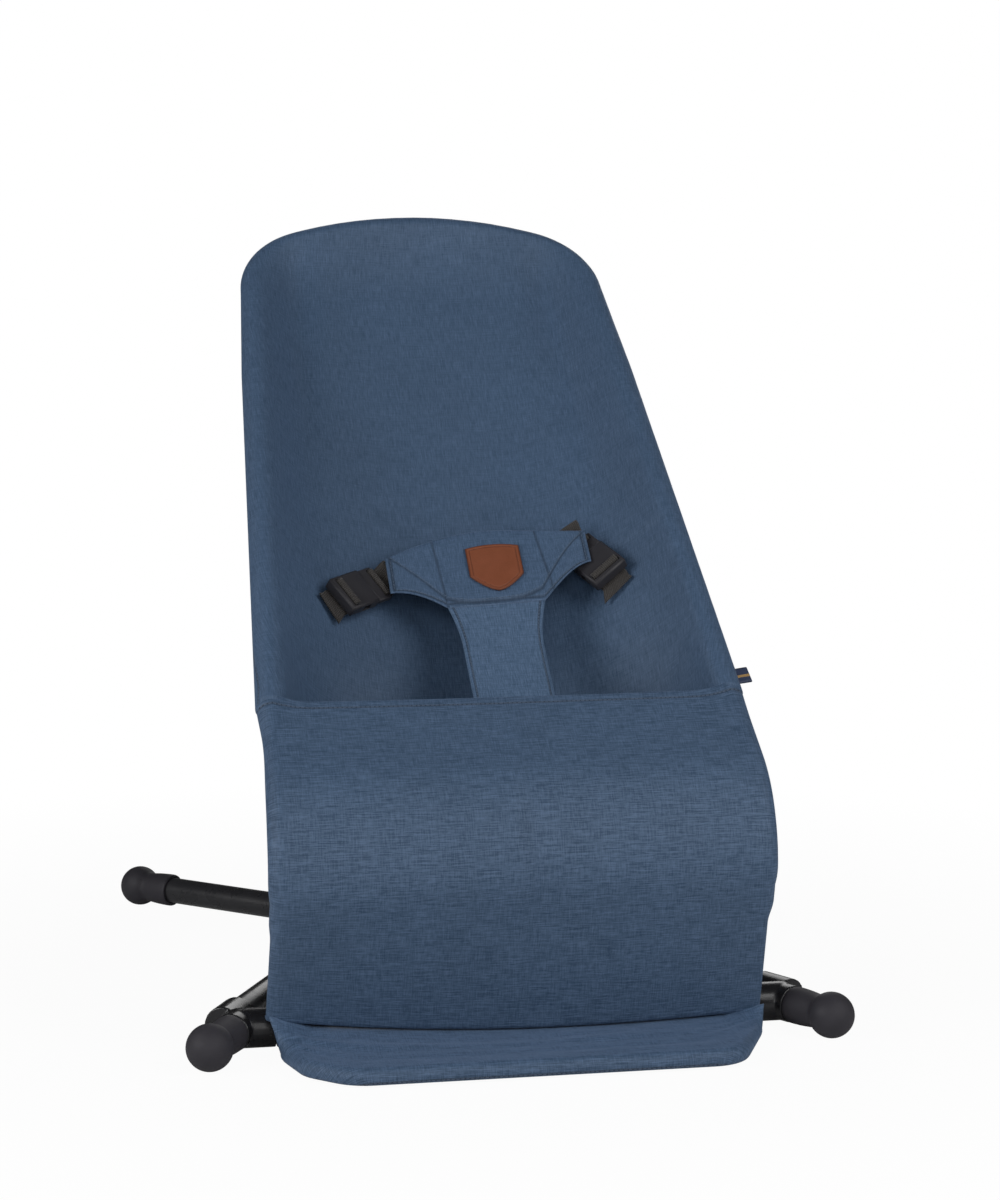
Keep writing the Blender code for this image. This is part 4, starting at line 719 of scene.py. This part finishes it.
def spline_rows(controls, per_span):
    """Rows between control rows, each column drawn as one smooth curve through its points."""
    filled = []
    for index in range(len(controls) - 1):
        near = [controls[index], controls[index + 1], controls[min(index + 2, len(controls) - 1)]]
        columns = list(zip(controls[max(index - 1, 0)], *near))
        for share in (step / per_span for step in range(per_span)):
            filled.append([0.5 * (2 * q + (r - p) * share + (2 * p - 5 * q + 4 * r - s) * share**2
                                  + (3 * q - p - 3 * r + s) * share**3) for p, q, r, s in columns])
    return filled + [[Vector(point) for point in controls[-1]]]


rear_half = rail_half(SLING_START) - SEAT_GAP
controls = [[on_back(rear_half * share, up, hollow(rear_half * share, SLING_START)) for share in shares]
            for up in (SLING_START - 0.0005, SLING_START - 0.0045)]
for index in range(4):
    y = SEAT_REAR - SEAT_RUN * index / 3
    z = 0.162 + 0.016 * ((y - 0.098) / (0.048 - 0.098)) ** 2
    ahead = 0.010 + 0.036 * index / 3
    half = SEAT_HALF + 0.0037 * ahead / 0.0984 - SEAT_GAP
    edge_y = SEAT_CORNER_Y - ahead
    edge_z = SEAT_CORNER_Z - ahead * tan(KNEE_SLOPE) - 0.002
    controls.append([spot(half * share, y + (edge_y - y) * share**2, z + (edge_z - z) * share**2)
                     for share in shares])
seat = cloth_grid("seat_cover", spline_rows(controls, 8))
stand_for(seat, back_cloth, "seat_sling")

# Leg panel: the same cloth drawn taut over the front of the rails, from the seat's edge over the
# knee to the floor. Its top edge is a sewn hem, and its sides fold round the rails.
PANEL_FOLD = 0.0035
PANEL_HEM = 0.0098
PANEL_STEPS = 32
CORNER_ROWS = 9
FOLD_STEPS = 12
HEM_TURN = 0.0016
TURNED_IN = 0.009
panel_cloth = melange("panel_melange", (0.030, 0.062, 0.116), (0.088, 0.144, 0.240), 2.2, 1.3,
                      seams=((0.0, 1.0, TURNED_IN + pi * HEM_TURN + 0.0055),))
path = bend_path(rail_corners[1:5] + [on_back(rail_half(0.02), 0.02, 0.0)], RAIL_BENDS[1:], radians(3))
panel_start = spot(0.1711, SEAT_CORNER_Y - 0.0112, SEAT_CORNER_Z - 0.0086)
kept = [point for point in reversed(path) if point.y < panel_start.y - 0.008 and point.z > 0.116]
centres, ways = along_path([panel_start] + kept, 0.0030)


def crease(x):
    """Where the bottom fold of the leg panel lies: low in the middle, and drawn up at its left end."""
    side = (x - 0.03) / (0.145 if x > 0.03 else 0.205)
    rise = 0.0030 if x > 0.03 else 0.0125
    return spot(0.0, 0.020 - 0.006 * (1.0 - side * side), 0.0175 + rise * side * side)


def panel_row(centre, out, radius, wrap, hand):
    row = hem_arc(on_side(centre, hand), -ACROSS * hand, out, radius, wrap, pi / 2, FOLD_STEPS)
    edge = row[-1]
    for index in range(1, PANEL_STEPS + 1):
        share = 1.0 - index / PANEL_STEPS
        ripple = waver(0.0005, edge.x * share * 8.0, edge.z * 30.0, 9.0)
        ripple -= 0.0012 * (1.0 - share**2)
        row.append(Vector((edge.x * share, edge.y, edge.z)) + out * ripple)
    return row


start_out = Vector((0.0, -sin(KNEE_SLOPE), cos(KNEE_SLOPE)))
halves = []
for hand, wide, drawn_in in ((1, 0.0088, 0.0040), (-1, 0.0107, 0.0014)):
    rows = []
    for index, (centre, way) in enumerate(zip(centres, ways)):
        radius = PANEL_HEM + (wide - PANEL_HEM) * clamp((0.225 - centre.z) / 0.060)
        radius -= 0.0012 * exp(-(((centre.z - 0.215) / 0.016) ** 2)) if hand < 0 else 0.0
        out = start_out if index == 0 else Vector((0.0, way.z, -way.y)).normalized()
        wrap = WRAP_END - radians(28) * clamp((0.140 - centre.z) / 0.020)
        rows.append(panel_row(centre, out, radius, wrap, hand))
    for index, row in enumerate(rows[:CORNER_ROWS]):
        for column, point in enumerate(row[:FOLD_STEPS + 6]):
            past = max(column - FOLD_STEPS, 0)
            pull = (1.0 - index / CORNER_ROWS) ** 1.5 * (1.0 - past / 6) ** 2
            swell = (point - on_side(centres[index], hand)).normalized() * 0.0012 * pull
            row[column] = point - ways[0] * 0.008 * pull + (swell if past < 3 else Vector())
    round_rail = [(point - on_side(centres[0], hand)).normalized() for point in rows[0]]
    normals = round_rail[:FOLD_STEPS + 1] + [start_out] * PANEL_STEPS
    turned = [[point - normal * 2 * HEM_TURN + ways[0] * reach for point, normal in zip(rows[0], normals)]
              for reach in (TURNED_IN, 0.006, 0.003)]
    for turn in map(radians, range(180, 0, -36)):
        turned.append([point + (normal * (cos(turn) - 1.0) - ways[0] * sin(turn)) * HEM_TURN
                       for point, normal in zip(rows[0], normals)])
    knee, front = centres[-1], rows[-1]
    for index in range(1, PANEL_STEPS + 1):
        share = index / PANEL_STEPS
        row = []
        for point in front:
            foot = crease(point.x)
            row.append(point.lerp(Vector((point.x, foot.y + point.y - front[FOLD_STEPS].y, foot.z)), share))
        edge = row[FOLD_STEPS]
        tuck = clamp((0.104 - edge.z) / 0.016)
        radius = wide - drawn_in * (tuck * tuck * (3.0 - 2.0 * tuck))
        centre = Vector((knee.x + (KNEE_HALF - knee.x) * share, edge.y + radius, edge.z))
        row[:FOLD_STEPS + 1] = hem_arc(on_side(centre, hand), -ACROSS * hand, Vector((0.0, -1.0, 0.0)), radius,
                                       radians(200 + 20 * share), pi / 2, FOLD_STEPS)
        rows.append(row)
    base = rows[-1]
    for turn in map(radians, range(30, 180, 30)):
        fold = Vector((0.0, PANEL_FOLD * (1.0 - cos(turn)), -PANEL_FOLD * sin(turn)))
        rows.append([point + fold for point in base])
    halves.append(turned + rows)
full_rows = [right + left[-2::-1] for right, left in zip(*halves)]
panel = cloth_grid("leg_panel_cover", full_rows)
stand_for(panel, panel_cloth, "leg_panel")

# Floor flap: the cover's foot, held flat by the floor loop in its front hem. It is sewn to the bottom of the
# leg panel.
LOOP_HEM = 0.0062
FLAP_STEPS = 24
UPRIGHT = Vector((0.0, 0.0, 1.0))
# The flap is the leg panel's cloth with its pale slubs set lighter: painted light where it lies facing up.
flap_cloth_painted_light = melange("flap_melange_painted_light", (0.030, 0.062, 0.116), (0.092, 0.151, 0.252), 2.0, 1.3,
                     seams=((0.0, 1.0, FEET_Y - 0.0774),))
kept = [point for point in loop_line if point.y < spot(0, 0.006, 0).y]
centres, ways = along_path(kept, 0.003)
rows, maps = [], []
for index, (centre, way) in enumerate(zip(centres, ways)):
    inward = way.cross(UPRIGHT).normalized()
    share = index / (len(centres) - 1)
    target = crease(KNEE_HALF * (1.0 - 2.0 * share))
    side = max(0.0, 1.0 - min(share, 1.0 - share) / 0.085)
    reach = (0.1815 if share < 0.5 else 0.1835) * (1.0 - 2.0 * share)
    target += Vector((reach, 0.007 - 0.0085 * side, -0.0052 + 0.0070 * side))
    leave = radians(96 + 80 * side)
    row = hem_arc(centre, inward, UPRIGHT, LOOP_HEM, WRAP_END, leave, FOLD_STEPS)
    edge = row[-1]
    arcs = [(WRAP_END - leave) * LOOP_HEM * (1.0 - step / FOLD_STEPS) for step in range(FOLD_STEPS + 1)]
    flat = [(edge.x - inward.x * arc, edge.y - inward.y * arc) for arc in arcs]
    for step in range(1, FLAP_STEPS + 1):
        share = step / FLAP_STEPS
        point = edge.lerp(target, share)
        rise = sin(pi * share) * (1.0 - side)
        point.z += rise * (waver(0.0032, point.x * 7.0, share * 6.0, 4.0) - 0.0018)
        point.z += rise * waver(0.0007, point.x * 22.0, share * 9.0, 8.0)
        row.append(point)
        flat.append((point.x, point.y))
    rows.append(row)
    maps.append(flat)
flap = cloth_grid("floor_flap", rows, maps)
put_in_scene(flap)
flap.data.materials.append(flap_cloth_painted_light)
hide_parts("foot_pocket")
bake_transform(flap)

# Restraint: a T of doubled cloth with thin wadding, turned and edge stitched. The stem comes up
# from under the leg panel between the baby's legs, and each arm ends at a buckle.
RESTRAINT_X = 0.017
RESTRAINT_OUT = -0.027
YOKE_HALF = 0.080
YOKE_TOP = 0.190
STEM_SHARE = 0.475
STEM_TOP = 0.112
ARM_UP = 0.156
SLING_LIP = 0.0067


def sling_out(x, up):
    """How far in front of the rails' plane the hammock would lie as one plain curve from rail to rail."""
    share = abs(x) / (rail_half(up) - SLING_LIP)
    return SLING_LIP - (full_depth(up) + SLING_LIP) * (1.0 - share**2.4)


left_tip = sling_out(RESTRAINT_X - YOKE_HALF, ARM_UP) + 0.0211
right_tip = sling_out(RESTRAINT_X + YOKE_HALF, ARM_UP) + 0.0206


def restraint_out(x):
    """How far in front of the rails' plane the restraint lies, from its middle out to its arms."""
    away = (x - RESTRAINT_X) / YOKE_HALF
    return (RESTRAINT_OUT + (right_tip - left_tip) / 2 * away
            + ((right_tip + left_tip) / 2 - RESTRAINT_OUT) * away**2)


def yoke_place(across, share, lift=0.0):
    """A point of the yoke by its shares from arm to arm and from its lower to its upper edge."""
    bend = max(0.0, (abs(across) - STEM_SHARE) / (1.0 - STEM_SHARE))
    low = STEM_TOP + (0.0275 + 0.0085 * across) * sin(pi / 2 * bend)
    high = YOKE_TOP - (0.016 - 0.007 * across) * abs(across) ** 1.6
    x = RESTRAINT_X + YOKE_HALF * across
    return on_back(x, low + (high - low) * share, restraint_out(x) + lift)


def quilted(name, place, columns, rows, full, width, length, grooves=lambda u, v: ()):
    """A thin padded piece: two layers that meet at the edges, with the seams drawn in as grooves, their depth
    kept on the piece for painted shade along them.
    """
    bm = bmesh.new()
    painted_seam_shade = bm.verts.layers.float.new("painted_seam_shade")
    for side in (1, -1):
        for vert, (u, v) in laid_grid(bm, columns, rows, lambda u, v: (u * width, v * length)).items():
            loft = 0.0003 + full * min(1.0, min(min(share, 1.0 - share) for share in (u, v)) / 0.10) ** 0.5
            for away, reach in grooves(u, v):
                depth = exp(-((away / reach) ** 2))
                loft -= full * 0.6 * depth
                # the groove's depth is kept on the piece, so that painted shade can darken the cloth along it
                vert[painted_seam_shade] = max(vert[painted_seam_shade], depth)
            vert.co = place(u, v, side * max(loft, 0.0002))
    bmesh.ops.bridge_loops(bm, edges=[item for item in bm.edges if item.is_boundary])
    bmesh.ops.recalc_face_normals(bm, faces=bm.faces)
    return finished(name, bm)


def stem_line(share):
    """The middle line of the stem, from its sewn end under the leg panel up to the yoke."""
    tucked = [spot(0, 0.052, 0.2235), spot(0, 0.066, 0.2232), spot(0, 0.079, 0.2228)]
    under = 0.22
    if share < under:
        part = share / under * 2.0
        first = min(int(part), 1)
        return tucked[first].lerp(tucked[first + 1], part - first)
    rise = (share - under) / (1.0 - under)
    up = -0.016 + (STEM_TOP + 0.0005 + 0.016) * rise
    out = -0.012 + (restraint_out(RESTRAINT_X) + 0.012) * sin(rise * pi / 2)
    return tucked[2].lerp(on_back(0, up, out), min(1.0, rise / 0.12))


def stem_place(u, v, lift):
    middle, ahead = stem_line(v), stem_line(min(v + 0.01, 1.0)) - stem_line(max(v - 0.01, 0.0))
    normal = ACROSS.cross(ahead.normalized())
    half = 0.031 + 0.007 * max(0.0, (v - 0.72) / 0.28) ** 1.8
    x = RESTRAINT_X - 0.005 * (1.0 - v) + half * (u - 0.5) * 2.0
    bow = (restraint_out(x) - restraint_out(RESTRAINT_X)) * max(0.0, (v - 0.35) / 0.65)
    return middle + ACROSS * x + BACK_OUT * bow + normal * lift


# The stem is the yoke's cloth, but its colours are set lighter: painted light for its face turned up to the
# light.
stem_cloth_painted_light = melange("stem_melange_painted_light", (0.048, 0.094, 0.168), (0.120, 0.192, 0.312), 1.1, 1.6,
                     seams=((1.0, 0.0, 0.0033), (1.0, 0.0, 0.0627)))
yoke_cloth = melange("yoke_melange", (0.038, 0.076, 0.140), (0.092, 0.152, 0.256), 1.1, 1.6, drawn=True)
sewing_thread = hard_finish("sewing_thread", (0.105, 0.150, 0.220), 0.70, grain=3000.0, depth=0.00004,
                            cloud=300.0, spread=0.30, shine=0.2)


STITCH_PITCH = 0.0033
THREAD_RADIUS = 0.00034


def sewn(item, lines):
    """Sews a finished piece along lines of points, with short raised stitches of blue thread."""
    bm = bmesh.new()
    bm.from_mesh(item.data)
    for line in lines:
        points, ways = along_path(line, STITCH_PITCH)
        for point, way in list(zip(points, ways))[:-1]:
            before = set(bm.faces)
            rod(bm, point + way * 0.0004, point + way * 0.0028, THREAD_RADIUS, segments=6)
            for face in set(bm.faces) - before:
                face.material_index = 1
                face.smooth = True
    bm.to_mesh(item.data)
    bm.free()
    item.data.materials.append(sewing_thread)


stem = quilted("restraint_stem", stem_place, 28, 64, 0.0011, 0.066, 0.165)
stand_for(stem, stem_cloth_painted_light, "crotch_stem")
sewn(stem, [[stem_place(u, 0.24 + 0.74 * step / 60, 0.00115) for step in range(61)] for u in (0.055, 0.945)])


def sag(across):
    """The curved seam of the yoke: from one arm's tip down to the stem and up to the other."""
    return 0.04 + (1.04 * abs(across) ** 3.4 if across < 0.0 else 0.96 * across**2.7)


def yoke_seams(u, v):
    """How far a place is from each seam of the yoke, two darts, the hem and the curve, and their widths."""
    across = (u - 0.5) * 2.0
    return ((across + 0.47 + 0.05 * v, 0.010), (across - 0.50 - 0.08 * (1.0 - v), 0.010),
            (min(v - 0.050, (min(u, 1.0 - u) - 0.022) * 2.0), 0.016), ((v - sag(across)) * 0.7, 0.017))


YOKE_SEWN = 0.956
yoke = quilted("restraint_yoke", lambda u, v, lift: yoke_place((u - 0.5) * 2.0, v, lift), 176, 72, 0.0012,
               0.17, 0.078, yoke_seams)
stand_for(yoke, yoke_cloth, "waist_yoke")
curve = [2 * YOKE_SEWN * step / 90 - YOKE_SEWN for step in range(91)]
lines = [[yoke_place(across, sag(across) + 0.035, 0.00120) for across in curve]]
for side in (-1, 1):
    lines.append([yoke_place(side * (YOKE_SEWN - 0.47 * step / 30), 0.06, 0.0010) for step in range(31)])
for side in (-1, 1):
    lines.append([yoke_place(side * YOKE_SEWN, 0.07 + 0.80 * step / 30, 0.0010) for step in range(31)])
sewn(yoke, lines)

# Leather patch: a plain shield of tan leather sewn to the yoke, its edge burnt dark by the cutter
# and a line pressed in all round it.
PATCH_X = 0.021
PATCH_HALF = 0.0208
PATCH_LOW = 0.1240
PATCH_TOP = 0.1720
PATCH_WIDTH = 0.040


bm = bmesh.new()
burn = bm.verts.layers.float.new("burn")
for vert, (u, v) in laid_grid(bm, 88, 96, lambda u, v: (u * PATCH_WIDTH, v * (PATCH_TOP - PATCH_LOW))).items():
    across = (u - 0.5) * 2.0
    x = PATCH_X + PATCH_HALF * across
    low = PATCH_LOW + 0.016 * abs(across) ** 1.6
    height = PATCH_TOP - 0.003 * across**2 - low
    slant = 1.0 / sqrt(1.0 + (1.20 * abs(across) ** 0.6) ** 2)
    from_edge = min(min(u, 1.0 - u) * PATCH_WIDTH, v * height * slant, (1.0 - v) * height)
    line = exp(-(((from_edge - 0.0026) / 0.00045) ** 2))
    rounding = max(0.0, 1.0 - from_edge / 0.0008) ** 2
    lift = 0.0030 - 0.00045 * line - 0.0005 * rounding
    vert.co = on_back(x, low + height * v, restraint_out(x) + lift)
    vert[burn] = min(1.0, 0.75 * line + max(0.0, 1.0 - from_edge / 0.0011))
bmesh.ops.recalc_face_normals(bm, faces=bm.faces)
patch = walled(finished("leather_shield", bm), 0.0014)
leather = hard_finish("tan_leather", (0.235, 0.074, 0.036), 0.50, grain=650.0, depth=0.00030, cloud=110.0,
                      spread=0.16, dulling=0.12)
tree = leather.node_tree
shader = tree.nodes["Principled BSDF"]
hide = shader.inputs["Base Color"].links[0].from_socket
burnt = add_node(tree, "Attribute", attribute_name="burn").outputs["Fac"]
feed(tree, shader, {"Base Color": mixed(burnt, hide, (0.085, 0.026, 0.014))})
stand_for(patch, leather, "leather_patch")

# Buckles: side release buckles of black acetal. The tongue hangs on the yoke's arm and the body on
# the hammock, each by a short loop of ribbed polypropylene tape.
WEBBING_HALF = 0.0125
TAPE = 0.0014
TAPE_STEPS = 12
buckle_nylon = hard_finish("buckle_nylon", (0.034, 0.033, 0.038), 0.46, grain=900.0, depth=0.00010,
                           cloud=60.0, spread=0.12)
refine([f"buckle_{part}_{word}" for word in ("left", "right") for part in ("body", "tongue")],
       0.0007, 3, buckle_nylon)

webbing, tree, flat = new_cloth("black_webbing")
ribs = add_node(tree, "VectorMath", {0: flat, 1: (2 * pi / 0.0016, 2 * pi / 0.0011, 0.0)},
                operation="MULTIPLY")
swing = add_node(tree, "VectorMath", {0: ribs}, operation="SINE")
swing_u, swing_v, _ = add_node(tree, "SeparateXYZ", {"Vector": swing}).outputs
fuzz = clouded(tree, flat, 1400.0, 3.0)
rib = reckon("MULTIPLY_ADD", swing_v, 0.4, swing_u)
yarn = mixed(ranged(rib, within=(-1.3, 1.3)), (0.018, 0.016, 0.015), (0.052, 0.046, 0.042))
dress(reckon("MULTIPLY_ADD", fuzz, 0.5, rib), 0.7, 0.00020,
      {"Base Color": yarn, "Roughness": ranged(fuzz, (0.62, 0.82)), "Sheen Weight": 0.15})


def buckle_frame(side):
    """The middle of a buckle, the way out along it, across it, and off the hammock."""
    x, up, standoff, droop, ease = ((0.104, 0.147, 0.0135, 60, 6.0) if side > 0
                                    else (0.093, 0.130, 0.0152, 35, 6.7))
    out = sling_out(x, up)
    tilt = atan((sling_out(x + 0.001, up) - out) / 0.001) - radians(ease)
    outward = ACROSS * side * cos(tilt) + BACK_OUT * sin(tilt)
    normal = BACK_OUT * cos(tilt) - ACROSS * side * sin(tilt)
    along = outward * cos(radians(droop)) - BACK_UP * sin(radians(droop))
    return on_back(side * x, up, out + standoff), along, normal.cross(along), normal


def tape_strip(name, node, buckle, stations, end_reach, level_at):
    """A tape that goes through a buckle's slot and lies down on the cloth at its far end."""
    middle, along, across, normal = buckle
    spread = (across - BACK_OUT * across.dot(BACK_OUT)).normalized()

    def laid(point):
        x, up, _ = from_corner(point)
        return on_back(x, up, level_at(x, up))

    corners = [middle + along * reach + normal * lift for reach, lift in stations]
    corners.append(laid(middle + along * end_reach))
    points = along_path(bend_path(corners, [0.0013] * 2 + [0.004], radians(12)), 0.0009)[0]
    rows = []
    for rest, point in zip(range(len(points) - 1, -1, -1), points):
        lying = max(0.0, 1.0 - rest / 9.0)
        hands = [WEBBING_HALF * (step / TAPE_STEPS - 0.5) * 2.0 for step in range(TAPE_STEPS + 1)]
        rows.append([(point + across * hand).lerp(laid(point + spread * hand), lying**1.5) for hand in hands])
    tape = cloth_grid(name, rows, thickness=TAPE)
    stand_for(tape, webbing, node)
    return tape


for word, side in SIDES:
    buckle = buckle_frame(side)
    plate_end, hole, lift = -0.032, -0.0275, 0.0035
    tape = tape_strip(f"tongue_tape_{word}", f"tongue_strap_{word}", buckle,
                      [(plate_end + 0.001, lift), (hole, lift), (hole, -lift), (plate_end - 0.004, -lift)],
                      plate_end - 0.016, lambda x, up: restraint_out(x) - 0.0028)
    slot, lift = 0.0102, 0.0060
    tape = tape_strip(f"side_tape_{word}", f"side_strap_{word}", buckle,
                      [(slot - 0.004, lift), (slot, lift), (slot, -lift), (0.017, -lift)],
                      0.026, lambda x, up: sling_out(x, up) + 0.0039)

# Side label: a narrow woven tape folded in two and caught in the right hem at the corner of the
# seat, navy with one plain tan stripe.
LABEL_WIDTH = 0.0138
label_cloth, tree, flat = new_cloth("navy_tape")
from_middle = add_node(tree, "SeparateXYZ", {"Vector": flat})
stripe = reckon("ABSOLUTE", reckon("SUBTRACT", from_middle, -0.0010))
threads = clouded(tree, flat, 2200.0, 2.0)
navy = mixed(threads, (0.018, 0.030, 0.075), (0.045, 0.065, 0.130))
striped = mixed(reckon("LESS_THAN", stripe, 0.0012), navy, (0.42, 0.26, 0.10))
dress(threads, 0.5, 0.00015, {"Base Color": striped, "Roughness": ranged(threads, (0.5, 0.7))})

low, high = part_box("side_label")
inner = on_back(low.x - 0.0012, 0.009, 0.0)
profile = [(0.0, 0.00045), (0.004, 0.00052), (0.008, 0.00060), (0.0115, 0.00062), (0.0126, 0.00050),
           (0.0130, 0.0002)]
profile += [(reach, -lift) for reach, lift in reversed(profile)]
rows = [[inner + ACROSS * (reach - 0.0016 * share) + BACK_OUT * lift
         + BACK_UP * ((share - 0.5) * LABEL_WIDTH + reach * 0.16) for share in (step / 8 for step in range(9))]
        for reach, lift in profile]
label = cloth_grid("side_label_tape", rows, thickness=0.0005)
stand_for(label, label_cloth, "side_label")

# Stage: a white studio floor and surround under soft lamps, one at each side and weak ones in front
# and behind.
bm = bmesh.new()
bmesh.ops.create_grid(bm, x_segments=1, y_segments=1, size=9.0)
floor = finished("studio_floor", bm)
put_in_scene(floor)
floor_paint, tree = new_material("white_floor")
shader = tree.nodes["Principled BSDF"]
feed(tree, shader, {"Base Color": (0.80, 0.80, 0.80, 1.0), "Roughness": 1.0, "Specular IOR Level": 0.0})
reach = add_node(tree, "VectorMath", {0: add_node(tree, "TexCoord").outputs["Object"]}, operation="LENGTH")
white = ranged(reach.outputs["Value"], (0.955, 1.0), (0.33, 0.9))
share = reckon("MULTIPLY", add_node(tree, "LightPath"), white)
glow = add_node(tree, "Emission")
blended = add_node(tree, "MixShader", {0: share, 1: shader, 2: glow})
feed(tree, tree.nodes["Material Output"], {"Surface": blended})
floor.data.materials.append(floor_paint)

sky = bpy.data.worlds.new("studio")
bpy.context.scene.world = sky
sky.use_nodes = True
tree = sky.node_tree
level = ranged(add_node(tree, "LightPath"), (0.025, 1.0))
feed(tree, tree.nodes["Background"], {"Color": (1.0, 1.0, 1.0, 1.0), "Strength": level})

for name, place, size, power in (("right_lamp", (1.4, -1.6, 1.4), 1.4, 24.5),
                                 ("left_lamp", (-1.9, -0.8, 1.0), 1.2, 22.5),
                                 ("front_lamp", (-0.4, -2.4, 0.9), 1.4, 11.5),
                                 ("back_lamp", (0.9, 2.4, 1.3), 1.4, 11.0)):
    lamp = bpy.data.lights.new(name, "AREA")
    lamp.shape = "SQUARE"
    lamp.size = size
    lamp.energy = power
    lit = bpy.data.objects.new(name, lamp)
    put_in_scene(lit)
    lit.location = place
    lit.rotation_euler = (Vector((0.0, 0.0, 0.25)) - Vector(place)).to_track_quat("-Z", "Y").to_euler()

bpy.context.scene.view_settings.view_transform = "Standard"
